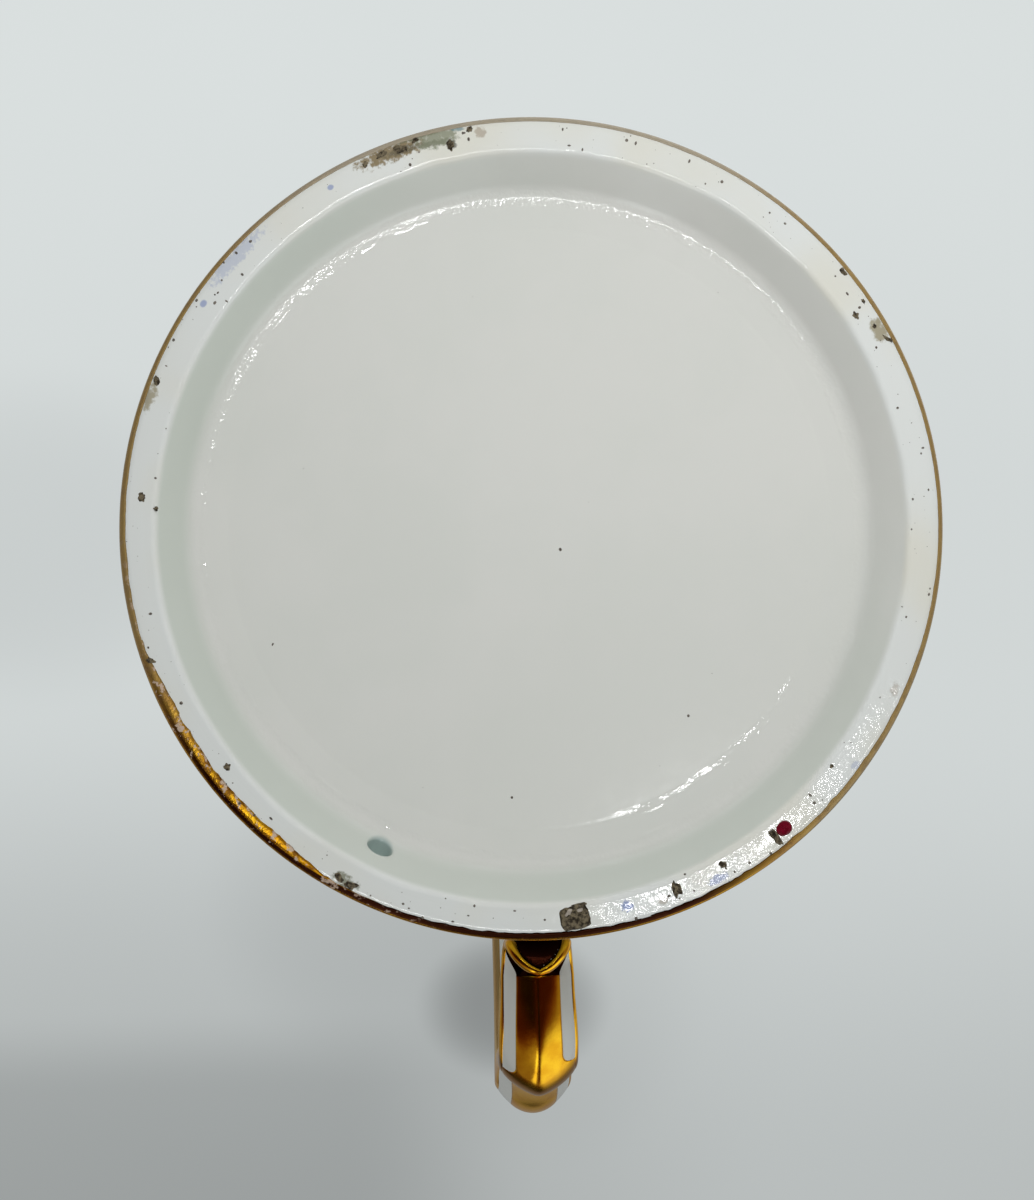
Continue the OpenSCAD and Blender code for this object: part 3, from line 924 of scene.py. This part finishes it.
# %% Skin of the strap
BLUNT, BLUNT_EAR = 0.15, 0.8
TAIL_RIM, TAIL_RIM_SLOPE, TAIL_ROLL = 0.4 * MM, 0.3 * MM, 0.16 * MM
HALF_ROLL = TAIL_RIM - TAIL_RIM_SLOPE * 0.2
ROUND_SECTION = 64

steps = np.linalg.norm(np.diff(stations[:, :2], axis=0), axis=1)
distance = np.concatenate([[0], np.cumsum(steps)])
taper = np.gradient(stations[:, 3] / 2) / np.gradient(distance)
rim_lean = 1 / np.sqrt(1 + taper ** 2)
ear_mid = distance[len(top_places) + len(ear) // 2]
past_ear = np.clip((distance - ear_mid) / (distance[elbow_first] - ear_mid), 0, 1)
bluntness = BLUNT_EAR + (BLUNT - BLUNT_EAR) * ease(past_ear)


def strap_skin(rows, around):
    """Points on the strap at stations (rows) and places round the section; both shape the grid."""
    s = stations[rows]
    u = np.sin(around * math.pi / 2)
    outside = np.cos(around * math.pi / 2) >= 0
    blunt = bluntness[rows][:, None]
    roof = 1 - (np.sqrt(u * u + blunt ** 2) - blunt) / (np.sqrt(1 + blunt ** 2) - blunt)
    width, ridge, thick, hollow = (s[:, k:k + 1] for k in (3, 4, 5, 6))
    over = (thick / 2 + ridge * roof) * np.sqrt(np.clip(1 - u ** 4, 0, 1))
    from_edge = (1 - np.abs(u)) * width / 2 * rim_lean[rows][:, None]
    dished = ease(np.clip((from_edge - TAIL_RIM) / TAIL_RIM_SLOPE, 0, 1))
    rolled = np.sqrt(np.clip(1 - (from_edge / HALF_ROLL - 1) ** 2, 0, 1)) * TAIL_ROLL * hollow / TAIL_HOLLOW
    under = -thick / 2 * np.clip(1 - u ** 6, 0, 1) ** (1 / 3) + hollow * dished - rolled
    out = np.where(outside, over, under)
    heading = np.radians(s[:, 2:3])
    x = s[:, 0:1] - np.sin(heading) * out
    z = s[:, 1:2] + np.cos(heading) * out
    return np.stack([x, u * width / 2 + 0 * out, z], -1)


def mesh_piece(name, points, faces, material):
    """A smooth mesh object from points and faces."""
    mesh = bpy.data.meshes.new(name)
    mesh.from_pydata([tuple(p) for p in points], [], faces)
    mesh.materials.append(material)
    mesh.shade_smooth()
    piece = bpy.data.objects.new(name, mesh)
    scene.collection.objects.link(piece)
    return outward(piece)


def quads(rows, columns, joined=False, first=0):
    """Faces of a grid of points, with its last column joined to its first or left open."""
    grid = np.arange(rows * columns).reshape(rows, columns) + first
    if joined:
        grid = np.column_stack([grid, grid[:, 0]])
    corners = (grid[:-1, :-1], grid[:-1, 1:], grid[1:, 1:], grid[1:, :-1])
    return np.stack(corners, -1).reshape(-1, 4).tolist()


def tube(rows, columns):
    """Faces of a tube of joined rows with both ends closed."""
    last = (rows - 1) * columns
    return quads(rows, columns, joined=True) + [range(columns), range(last, last + columns)]


section_places = np.linspace(-1, 3, ROUND_SECTION, endpoint=False)[None, :]
strap = strap_skin(np.arange(len(stations)), section_places).reshape(-1, 3)
handle = mesh_piece("strap_handle", strap, tube(len(stations), ROUND_SECTION), glaze)
settle(handle, "porcelain", "handle")

# %% [markdown]
# On the strap, gold lies in a broad band along the ridge and in a thin line on each edge, and
# white glaze shows between them. The white strips stop with round ends before the elbow, so the
# elbow is gold all across. Each gold piece is a thin closed shell: the strap's own skin, raised a
# little and thinned at its borders, with a back that sits just under the glaze.

# %% Shells of gold
GOLD_PROUD = 0.04 * MM
GOLD_BEDDED = 0.03 * MM
NEVER_ZERO = 1e-12


def wandering(rows, seed, size, amount):
    """A brush's small drift along the strap."""
    return np.array([amount * noise.noise(Vector((distance[i] / size, seed, 0.0))) for i in rows])


def as_place(share):
    """Place round the section of a share of the half width, on the outside."""
    return np.arcsin(np.clip(share, -1, 1)) * 2 / math.pi


def middle_of(rows):
    """The strap's middle line at some stations."""
    return np.column_stack([stations[rows, 0], np.zeros(len(rows)), stations[rows, 1]])


def skin_normal(along, across):
    """Unit vectors square to two sets of steps on a skin."""
    normal = np.cross(along, across)
    return normal / (np.linalg.norm(normal, axis=-1, keepdims=True) + NEVER_ZERO)


def gold_shell(name, stations_used, grid, material):
    """A closed thin layer over a grid of points on the strap."""
    rows, columns = grid.shape[:2]
    normal = skin_normal(np.gradient(grid, axis=0), np.gradient(grid, axis=1))
    middle = middle_of(stations_used)[:, None, :]
    side = np.sign(np.sum((grid - middle) * normal, -1, keepdims=True))
    normal *= np.where(side == 0, 1, side)
    thin = 1.05 - np.abs(np.linspace(-1, 1, columns)) ** 8
    thin = thin[None, :] * (1.05 - np.abs(np.linspace(-1, 1, rows)) ** 60)[:, None]
    top = (grid + normal * GOLD_PROUD * thin[..., None]).reshape(-1, 3)
    back = (grid - normal * GOLD_BEDDED).reshape(-1, 3)
    count = rows * columns
    spots = np.arange(count).reshape(rows, columns)
    rim = np.concatenate([spots[0], spots[1:, -1], spots[-1, -2::-1], spots[-2:0:-1, 0]]).tolist()
    faces = quads(rows, columns) + [face[::-1] for face in quads(rows, columns, first=count)]
    faces += [(b, a, a + count, b + count) for a, b in zip(rim, rim[1:] + rim[:1])]
    return mesh_piece(name, np.concatenate([top, back]), faces, material)


print("gold stands", GOLD_PROUD / MM, "mm proud")

# %% [markdown]
# The band's borders wander a little, as a brush does. At the elbow they run out to the edges, where the white
# strips close with round ends. On the heel, half hidden under the tail, the gold is painted near-black as
# painted shade and dark reflection, so those faces take that dark finish.

# %% Gold band and edges
BAND_SHARE = 3.75 / 6.2
EDGE_SHARE = 0.925
EDGE_OVERLAP = 0.02
EDGE_WRAP = 1.41
ROUND_END = 0.9 * MM
HEEL_CLOSES = 1.6
ACROSS_BAND, ACROSS_EDGE = 25, 13
GOLD_ELBOW = {1: (-2.6 * MM, 0.3 * MM), -1: (-2.6 * MM, 1.2 * MM)}
elbow_mid = distance[(elbow_first + belly_first) // 2]
band_rows = np.arange(0, tail_first + 1)


def band_border(side):
    """Share of the half width that the band covers on one side at each station."""
    before, after = GOLD_ELBOW[side]
    along_band = distance[band_rows]
    into = np.minimum(along_band - elbow_mid - before, elbow_mid + after - along_band)
    round_end = np.clip(1 + into / ROUND_END, 0, 1)
    shut = 1 - np.sqrt(np.clip(1 - round_end ** 2, 0, 1))
    on_heel = np.clip((band_rows - heel_first) / (tail_first - heel_first), 0, 1)
    shut = np.maximum(shut, ease(np.clip(on_heel * HEEL_CLOSES, 0, 1)))
    drift = wandering(band_rows, 3.0 + side, 5 * MM, 0.03)
    return BAND_SHARE + drift + (EDGE_SHARE + EDGE_OVERLAP - BAND_SHARE) * shut


half_way = np.linspace(0, 1, ACROSS_BAND // 2 + 1)[None, :]
low, high = as_place(-band_border(-1)), as_place(band_border(1))
band_places = np.concatenate([low[:, None] * (1 - half_way), high[:, None] * half_way[:, 1:]], 1)
band = gold_shell("gold_handle_band", band_rows, strap_skin(band_rows, band_places), handle_gold)
# Painted shade: faces from the heel on take the near-black gold.
band.data.materials.append(shade_gold)
for face in band.data.polygons:
    row = min(face.vertices) % band_places.size // ACROSS_BAND
    face.material_index = int(row >= heel_first - 1)
settle(band, "gilding", "gilt_handle_band")

spread = np.linspace(0, 1, ACROSS_EDGE)[None, :]
for name, side, nodes in (("gold_edge_left", 1, ["gilt_handle_edges"]), ("gold_edge_right", -1, [])):
    inner = as_place(EDGE_SHARE + wandering(band_rows, 7.0 + side, 4 * MM, 0.035))
    edge = strap_skin(band_rows, inner[:, None] + (EDGE_WRAP - inner)[:, None] * spread)
    edge[..., 1] *= side
    settle(gold_shell(name, band_rows, edge, handle_gold), "gilding", *nodes)

# %% [markdown]
# The tail that curls off the wall is gilded all round: a small dish with a rolled rim, which ends
# in a point. It takes the strap's whole section from the heel's end to the tip, a little larger.
# The bottom of the dish is painted near-black, as painted shade and dark reflection, and its rim stays
# bright.

# %% Gold tail
TAIL_AROUND = 96
DISH_FROM = TAIL_RIM + TAIL_RIM_SLOPE * 0.7
tail_rows = np.arange(tail_first, len(stations))
tail_ring = np.linspace(-1, 3, TAIL_AROUND, endpoint=False)[None, :]
tail_grid = strap_skin(tail_rows, tail_ring)
tail_round = np.roll(tail_grid, -1, axis=1) - np.roll(tail_grid, 1, axis=1)
tail_out = skin_normal(np.gradient(tail_grid, axis=0), tail_round)
top_place = TAIL_AROUND // 4
top_side = np.sum(tail_out[2, top_place] * (tail_grid[2, top_place] - middle_of(tail_rows)[2]))
tail_points = (tail_grid + tail_out * math.copysign(GOLD_PROUD, top_side)).reshape(-1, 3)
gold_tail = mesh_piece("gold_tail", tail_points, tube(len(tail_rows), TAIL_AROUND), handle_gold)
# Painted shade: the dish's faces take the near-black gold.
gold_tail.data.materials.append(shade_gold)
off_middle = np.abs(np.sin(tail_ring[0] * math.pi / 2))
for face in gold_tail.data.polygons:
    row, column = divmod(min(face.vertices), TAIL_AROUND)
    under = TAIL_AROUND // 2 <= column < TAIL_AROUND - 1
    from_edge = (1 - off_middle[column]) * stations[tail_rows[row], 3] / 2 * rim_lean[tail_rows[row]]
    face.material_index = int(under and from_edge > DISH_FROM)
settle(gold_tail, "gilding", "gilt_tail")

# %% [markdown]
# The strap is stuck to the wall with slip, which is clay as thin as cream. It squeezes out all
# round and is wiped to a hollow fillet with a wet brush, so each joint is a collar: wide on the
# wall, narrow on the strap. Rings of points go from the one to the other along a quarter circle.

# %% Slip joints
COLLAR_STEPS = 9
COLLAR_BEDDED = 0.15 * MM
COLLAR_START = 0.12
HEEL_PAD = np.array([2.1 * MM, 1.3 * MM])
HEEL_PAD_STEPS = 48


def collar(name, ring, outward_2d, grow_by, from_x, node):
    """A hollow fillet from the wall to a ring of points (across, up) at a distance from the wall."""
    points = []
    for t in np.linspace(0, 1, COLLAR_STEPS):
        across = ring + outward_2d * grow_by * (1 - math.sin(t * math.pi / 2))
        wall = np.sqrt(cup_r ** 2 - across[:, 0] ** 2) - COLLAR_BEDDED
        rise = 1 - math.cos(t * math.pi / 2)
        x = wall + (from_x - wall) * (COLLAR_START + (1 - COLLAR_START) * rise if t else 0)
        points.append(np.column_stack([x, across]))
    piece = mesh_piece(name, np.concatenate(points), tube(COLLAR_STEPS, len(ring)), glaze)
    return settle(piece, "slip", node)


head_ring = strap_skin(np.array([0]), section_places)[0][:, 1:]
head_out = head_ring - np.array([0, stations[0, 1]])
head_out = head_out / np.linalg.norm(head_out, axis=1, keepdims=True)
collar("upper_slip_collar", head_ring, head_out, 0.9 * MM, seat_x + 0.9 * MM, "upper_slip_joint")
round_heel = np.linspace(0, math.tau, HEEL_PAD_STEPS, endpoint=False)
heel_out = np.column_stack([np.cos(round_heel), np.sin(round_heel)])
heel_ring = heel_out * HEEL_PAD + np.array([0, heel_c[1] - HEEL_RUN / 2])
collar("lower_slip_collar", heel_ring, heel_out, 0.5 * MM, seat_x + 0.3 * MM, "lower_slip_joint")

# %% [markdown]
# A cup that stood on sand in the kiln brings some of it away. On the ring there are a few crusts
# of grit, two pale chips in the largest of them, and one drop of red enamel. Each is a low, uneven
# lens: a disc of rings whose border and height are moved by noise, with its back in the glaze.

# %% Lenses on the ring
BLOT_RINGS, BLOT_AROUND = 7, 36
BLOT_BEDDED = 0.06 * MM
CRUST_GRAIN = 0.35


def blot(turn, radius, length, width, height, tilt=0.0, square=0.0, seed=0.0, ragged=0.3):
    """Points and faces of one lens, in degrees and millimetres; its length lies round the cup."""
    ahead = Vector((*compass(turn), 0))
    sideways = Vector((-ahead.y, ahead.x, 0))
    lean_x, lean_y = compass(tilt)
    top, back = [], []
    for share in ((i + 0.5) / (BLOT_RINGS - 0.5) for i in range(BLOT_RINGS)):
        for k in range(BLOT_AROUND):
            c, s = compass(360 * k / BLOT_AROUND)
            wobble = 1 + ragged * (1 - 0.85 * square) * noise.noise(Vector((c * 1.6, s * 1.6, seed)))
            wobble += 0.16 * ragged * noise.noise(Vector((c * 6, s * 6, seed)))
            boxed = (c ** 6 + s ** 6) ** (-1 / 6)
            wobble *= 1 + square * (boxed - 1)
            x, y = share * wobble * length / 2 * c, share * wobble * width / 2 * s
            x, y = x * lean_x - y * lean_y, x * lean_y + y * lean_x
            crust = 1 - ragged * (0.5 - noise.noise(Vector((x / CRUST_GRAIN, y / CRUST_GRAIN, seed))))
            rise = height * MM * min(1.0, crust) * (1 - share ** 3)
            place = (ahead * (radius + y) + sideways * x) * MM
            top.append((place.x, place.y, GRIT_ROOM - rise))
            back.append((place.x, place.y, GRIT_ROOM + BLOT_BEDDED))
    faces = []
    for first in (0, len(top)):
        faces += quads(BLOT_RINGS, BLOT_AROUND, joined=True, first=first)
        faces.append(range(first, first + BLOT_AROUND))
    border = [len(top) - BLOT_AROUND + k for k in range(BLOT_AROUND)]
    faces += [(a, b, b + len(top), a + len(top)) for a, b in zip(border, border[1:] + border[:1])]
    return top + back, faces


def blots(name, table, material, ragged=0.3):
    """One piece made of several lenses."""
    points, faces = [], []
    for n, row in enumerate(table):
        more, sides = blot(*row, seed=3.7 * n + len(name), ragged=ragged)
        faces += [tuple(i + len(points) for i in side) for side in sides]
        points += more
    return settle(mesh_piece(name, points, faces, material), "porcelain")


def speckled(name, light, dark, roughness, grain):
    """A mottled finish for a crust or a drop."""
    material, shader, place = new_material(name)
    grains = between(noise_of(place, grain, 5.0, 0.75), 0.38, 0.60)
    normal = bumped(grains, 0.03, strength=0.6)
    feed(shader, {"Base Color": mixed(grains, light, dark), "Normal": normal, "Roughness": roughness})
    return material


print("a lens has", 2 * BLOT_RINGS * BLOT_AROUND, "points")

# %% [markdown]
# Each row of the tables below is one lens: its turn in degrees, its radius, length, width and
# height in millimetres, and where needed a tilt in degrees and how square it is.

# %% Grit, chips and the red drop
GRIT = [
    (-4.7, 29.4, 2.2, 1.9, 0.08, 6, 1.0),
    (-20.1, 29.2, 0.75, 1.4, 0.08),
    (-27.9, 29.1, 0.6, 0.6, 0.08),
    (-36.6, 29.6, 0.6, 1.6, 0.08),
    (-49.9, 28.8, 0.35, 0.35, 0.05),
    (157.0, 30.1, 0.5, 0.4, 0.07),
    (159.6, 30.3, 0.9, 0.45, 0.07, 10),
    (162.4, 30.2, 1.1, 0.55, 0.08, -8),
    (164.8, 30.45, 0.6, 0.3, 0.07, 20),
    (169.6, 29.5, 0.5, 0.8, 0.08),
    (172.7, 30.4, 0.5, 0.4, 0.07, 30),
    (-116.4, 30.4, 0.9, 0.3, 0.07, 30),
    (-118.9, 30.0, 0.35, 0.3, 0.06),
    (-121.7, 29.2, 0.6, 0.45, 0.07),
    (-122.8, 30.3, 0.4, 0.25, 0.06),
    (-127.9, 30.4, 0.65, 0.4, 0.07),
    (113, 30.3, 0.7, 0.4, 0.06, 20),
    (96.1, 29.4, 0.7, 0.6, 0.07),
    (94.5, 28.3, 0.35, 0.35, 0.05),
    (28.5, 30.1, 1.0, 0.6, 0.08, 15),
    (30.6, 30.0, 0.9, 0.5, 0.08, -20),
    (72.4, 30.3, 0.7, 0.4, 0.07, 40),
    (53.5, 29.1, 0.5, 0.5, 0.07),
]
RED_DROP = [(-38.4, 29.5, 1.3, 1.1, 0.09)]
PALE_CHIPS = [
    (-3.75, 29.1, 0.5, 0.8, 0.097, -35),
    (-5.5, 28.95, 0.7, 0.36, 0.097, 15),
]
crust = speckled("kiln_crust", (0.22, 0.18, 0.11), (0.026, 0.02, 0.012), 0.4, 0.3)
enamel = speckled("red_enamel", (0.20, 0.004, 0.018), (0.14, 0.003, 0.012), 0.12, 0.3)
bare_clay = speckled("bare_clay", (0.50, 0.44, 0.37), (0.36, 0.31, 0.25), 0.45, 0.3)
blots("kiln_grit", GRIT, crust, 0.55)
blots("red_drop", RED_DROP, enamel, 0.1)
blots("pale_chips", PALE_CHIPS, bare_clay)

# %% [markdown]
# Fine dark specks, from iron in the clay and from sand, are all over the ring and here and there on
# the base. They repeat, so a small tree scatters them: random places on the body's underside,
# thinned by where they lie, each with a flat grain of its own size. The seed is an input and is kept.

# %% Specks
SPECK_RING = (28.3 * MM, 28.8 * MM)
RING_TOP = 0.3 * MM
SPECK_BASE = 24 * MM
FACES_DOWN = -0.9
SPECK_STRETCH = (0.6, 1.3)
SPECK_FLATNESS = 0.3


def speck_tree():
    """Scatters flat grains over the ring and, more thinly, over the base."""
    tree, given = new_tree(
        "scattered_specks", Object=["Body"], Int=["Seed"], Material=["Material"],
        Float=["Per square metre", "On the base", "Smallest", "Largest"])

    def drawn(low, high, seed):
        """A random number for each speck."""
        return value(tree, "FunctionNodeRandomValue", {2: low, 3: high, "Seed": seed}, 1, data_type="FLOAT")

    x, y, z = axes_of(value(tree, "GeometryNodeInputPosition"))
    across = from_axis(x, y)
    faces_down = axes_of(value(tree, "GeometryNodeInputNormal"))[2].math("LESS_THAN", FACES_DOWN)
    on_ring = between(across, *SPECK_RING) * faces_down * z.math("LESS_THAN", RING_TOP)
    on_base = across.math("LESS_THAN", SPECK_BASE) * faces_down
    wanted = given["Per square metre"] * (on_base * given["On the base"] + on_ring)
    spread = {"Mesh": shape_of(given["Body"]), "Density": wanted, "Seed": given["Seed"]}
    spots = add(tree, "GeometryNodeDistributePointsOnFaces", spread, distribute_method="RANDOM").outputs
    grain = value(tree, "GeometryNodeMeshIcoSphere", {"Radius": 1.0, "Subdivisions": 2}, "Mesh")
    mostly_small = drawn(0.0, 1.0, given["Seed"]) ** 3.0
    size = mostly_small * (given["Largest"] - given["Smallest"]) + given["Smallest"]
    length, breadth = drawn(*SPECK_STRETCH, 5), drawn(*SPECK_STRETCH, 6)
    scale = vector(size * length, size * breadth, size * SPECK_FLATNESS)
    scattered = value(tree, "GeometryNodeInstanceOnPoints", {
        "Points": Value(spots["Points"]), "Rotation": Value(spots["Rotation"]),
        "Instance": grain, "Scale": scale})
    coat(scattered, given["Material"])
    return tree


iron = speckled("iron_specks", (0.28, 0.25, 0.21), (0.09, 0.075, 0.06), 0.5, 0.2)
specks = grow("iron_specks", speck_tree(), {
    "Body": body, "Per square metre": 0.65e6, "On the base": 0.006, "Smallest": 0.022 * MM,
    "Largest": 0.14 * MM, "Seed": 11, "Material": iron})
settle(specks, "porcelain")

# %% [markdown]
# The studio has two plain pale surfaces, both seen from one side only. The cup stands on the floor
# for every ordinary view. For the view from below there is a tabletop at its rim, as if the cup had
# been set down mouth first. Each is clear from behind and casts no shadow, so neither is in the
# other's way. The tabletop has its own soft shading: paler far off, darker in the viewer's shadow
# and beside the handle. Neither belongs to the cup.

# %% Floor and tabletop
TABLE_TONE = 0.870
FLOOR_HALF = 2.0
TABLE_HALF = 0.11
TABLE_PALE = (0.80, 0.84, 0.835)
TABLE_TINT = (0.96, 1.015, 1.01)
MOTTLE = 0.97
SHADOW_BLOBS = [
    (39.3, 0.8, 7, 8.9, 0.146),
    (30, 11, 15.3, 18, 0.038),
    (39, -2.7, 15.6, 13.8, 0.017),
    (-2, 42, 16, 22, 0.036),
]


def table_tone(place):
    """Brightness of the tabletop; each blob has a place, two reaches and how much it darkens."""
    x, y = axes_of(place)[:2]
    tone = TABLE_TONE - between(x, -45, 12) * 0.034 - between(x, 12, 60) * 0.099
    tone = tone - between(x, 8, 34) * between(y, -25, 12) * 0.052
    tone = tone - between(x, 38.5, 46) * between(y, -2, 16) * 0.065
    for blob_x, blob_y, reach_x, reach_y, darker in SHADOW_BLOBS:
        ahead, beside = (x - blob_x) / reach_x, (y - blob_y) / reach_y
        tone = tone - between(ahead * ahead + beside * beside, 1.0, 0.0) * darker
    return tone ** 2.2


def pale_surface(name, z, half, faces_up, colour, shaded):
    """A one-sided plain surface, lit by the lamps, or by its own tone if shaded."""
    corners = [(-half, -half, z), (half, -half, z), (half, half, z), (-half, half, z)]
    mesh = bpy.data.meshes.new(name)
    mesh.from_pydata(corners, [], [(0, 1, 2, 3) if faces_up else (3, 2, 1, 0)])
    material = bpy.data.materials.new(name)
    tree = empty_nodes(material)
    place = place_in_mm(tree)
    mottled = mixed(noise_of(place, 30, 4.0), colour, [c * MOTTLE for c in colour])
    if shaded:
        front = value(tree, "ShaderNodeEmission", {"Color": mottled, "Strength": table_tone(place)})
    else:
        front = value(tree, "ShaderNodeBsdfDiffuse", {"Color": mottled})
    behind = value(tree, "ShaderNodeBsdfTransparent")
    turned_away = value(tree, "ShaderNodeNewGeometry", key="Backfacing")
    one_sided = value(tree, "ShaderNodeMixShader", {0: turned_away, 1: front, 2: behind})
    add(tree, "ShaderNodeOutputMaterial", {"Surface": one_sided})
    mesh.materials.append(material)
    surface = bpy.data.objects.new(name, mesh)
    scene.collection.objects.link(surface)
    surface.visible_shadow = surface.visible_diffuse = False
    surface.visible_glossy = surface.visible_transmission = False
    return surface


floor = pale_surface("floor", 0.0, FLOOR_HALF, True, TABLE_PALE, False)
tabletop = pale_surface("tabletop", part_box("gilt_rim_line")[1].z, TABLE_HALF, False, TABLE_TINT, True)
print("stage:", floor.name, tabletop.name)

# %% [markdown]
# Light is soft and pale all round, from the world. Gold needs something dark to reflect, or it
# looks like paint, so what mirrors see is set apart from what lights the clay: patches of light
# and dark stand round the cup as cards stand round a jeweller's table, with a fold, a dark strip
# and a narrow window for the ridge of the handle. Dark places are tinted warm.

# %% Light from all round
SOFT_LIGHT = 0.405
SEEN_BY_CAMERA = 0.75
WARM_DARK, WARM_PALE, DAYLIGHT = (1.0, 0.10, 0.05), (1.0, 0.80, 0.72), (0.97, 1.0, 0.99)
BRIGHT_CARDS = [
    ((0.78, -0.56, 0.05), 24, 44, 0.95),
    ((0.80, 0.40, -0.45), 8, 30, 0.2),
    ((-0.7, 0.5, 0.5), 12, 40, -0.3),
    ((-0.95, -0.1, -0.25), 35, 65, 0.6),
]
DARK_CARDS = [
    ((-0.2, 0, -0.98), 45, 74, 0.87),
    ((0.35, 0, 0.94), 22, 44, 0.62),
    ((0, 0.86, -0.5), 26, 50, 0.85),
    ((0.12, 0.72, 0.68), 15, 32, 0.45),
]


def world_light():
    """The world: soft light for clay, cards for mirrors and an even pale ground for the camera."""
    world = bpy.data.worlds.new("studio")
    tree = empty_nodes(world)
    toward = value(tree, "ShaderNodeTexCoord", key="Generated")
    x, y, z = axes_of(toward)

    def card(axis, narrow, wide, amount):
        """A smooth round card in a direction, between two half angles in degrees."""
        ends = {0: toward, 1: tuple(Vector(axis).normalized())}
        facing = value(tree, "ShaderNodeVectorMath", ends, "Value", operation="DOT_PRODUCT")
        return between(facing, math.cos(math.radians(wide)), math.cos(math.radians(narrow))) * amount

    above = between(z, 0.35, 0.75)
    seen = above * 0.45 + 0.3
    for bright in BRIGHT_CARDS:
        seen = seen + card(*bright)
    for dark in DARK_CARDS:
        seen = seen * (1.0 - card(*dark))
    fold = within(z, 0.40, 0.54, 0.72, 0.82) * between(x, 0.3, 0.5)
    fold = fold * (between(y, -0.4, -0.05) * 0.55 + 0.35)
    strip = between(y.math("ABSOLUTE"), 0.16, 0.05) * between(x, -0.3, 0.1) * between(z, 0.5, 0.2)
    slant = y / x.math("MAXIMUM", 0.05)
    window = within(slant, 0.24, 0.32, 0.44, 0.52) * between(x, 0.2, 0.4)
    window = window * within(z, -0.62, -0.5, 0.35, 0.5)
    seen = seen * (1.0 - fold) * (1.0 - strip * 0.93) + window * 1.3
    ways = add(tree, "ShaderNodeLightPath").outputs
    in_mirror, in_camera = Value(ways["Is Glossy Ray"]), Value(ways["Is Camera Ray"])
    strength = in_mirror * (seen - SOFT_LIGHT) + SOFT_LIGHT
    strength = in_camera * (SEEN_BY_CAMERA - strength) + strength
    warm = mixed(between(strength, 0.0, 0.35), WARM_DARK, WARM_PALE)
    paler = between(strength, 0.3, 1.0).math("MAXIMUM", above).math("MAXIMUM", 1.0 - in_mirror)
    light = {"Color": mixed(paler, warm, DAYLIGHT), "Strength": strength}
    add(tree, "ShaderNodeOutputWorld", {"Surface": value(tree, "ShaderNodeBackground", light)})
    return world


scene.world = world_light()
print("world:", scene.world.name)

# %% [markdown]
# A small lamp and a long narrow strip beside the camera make the glints on the wet-looking glaze.
# They are only mirrored and light nothing softly. They reach just the body, its foot line and the
# pale chips, or the handle's ridge would mirror them as well. Three panels do the opposite: they
# light softly and aren't mirrored. One fills the front of the body and lights only the same three
# pieces, one is near the foot, and a large one at the upper right gives the soft shadow.

# %% Lamps
GLINTING = ("porcelain_body", "gold_foot_line", "pale_chips")
glazed = bpy.data.collections.new("pieces_that_glint")
for name in GLINTING:
    glazed.objects.link(bpy.data.objects[name])


def lamp(name, place, aim_height, size, glow, narrow=None, glints=False, only_glazed=False):
    """A light of a given brightness, in millimetres: a disc, or a strip if it is narrow."""
    data = bpy.data.lights.new(name, "AREA")
    data.shape = "RECTANGLE" if narrow else "DISK"
    data.size = size * MM
    data.size_y = (narrow or size) * MM
    area = data.size * data.size_y * (1 if narrow else math.pi / 4)
    data.energy = glow * math.pi * area
    light = bpy.data.objects.new(name, data)
    scene.collection.objects.link(light)
    light.location = Vector(place) * MM
    aim = Vector((0, 0, aim_height)) - Vector(place)
    light.rotation_euler = aim.to_track_quat("-Z", "Y").to_euler()
    light.visible_camera = False
    light.visible_diffuse = not glints
    light.visible_glossy = glints
    if only_glazed:
        light.light_linking.receiver_collection = glazed
    return light.name


print("lamps:", [
    lamp("glint_lamp", (51, -46, -420), 0, 25, 62, glints=True, only_glazed=True),
    lamp("glint_strip", (130, -13, -420), 0, 360, 26, narrow=16, glints=True, only_glazed=True),
    lamp("front_panel", (450, 200, 330), 30, 400, 2.0, only_glazed=True),
    lamp("near_panel", (-35, -22, -90), 4, 80, 3.1),
    lamp("upper_panel", (-350, -420, 620), 30, 420, 10.5),
])
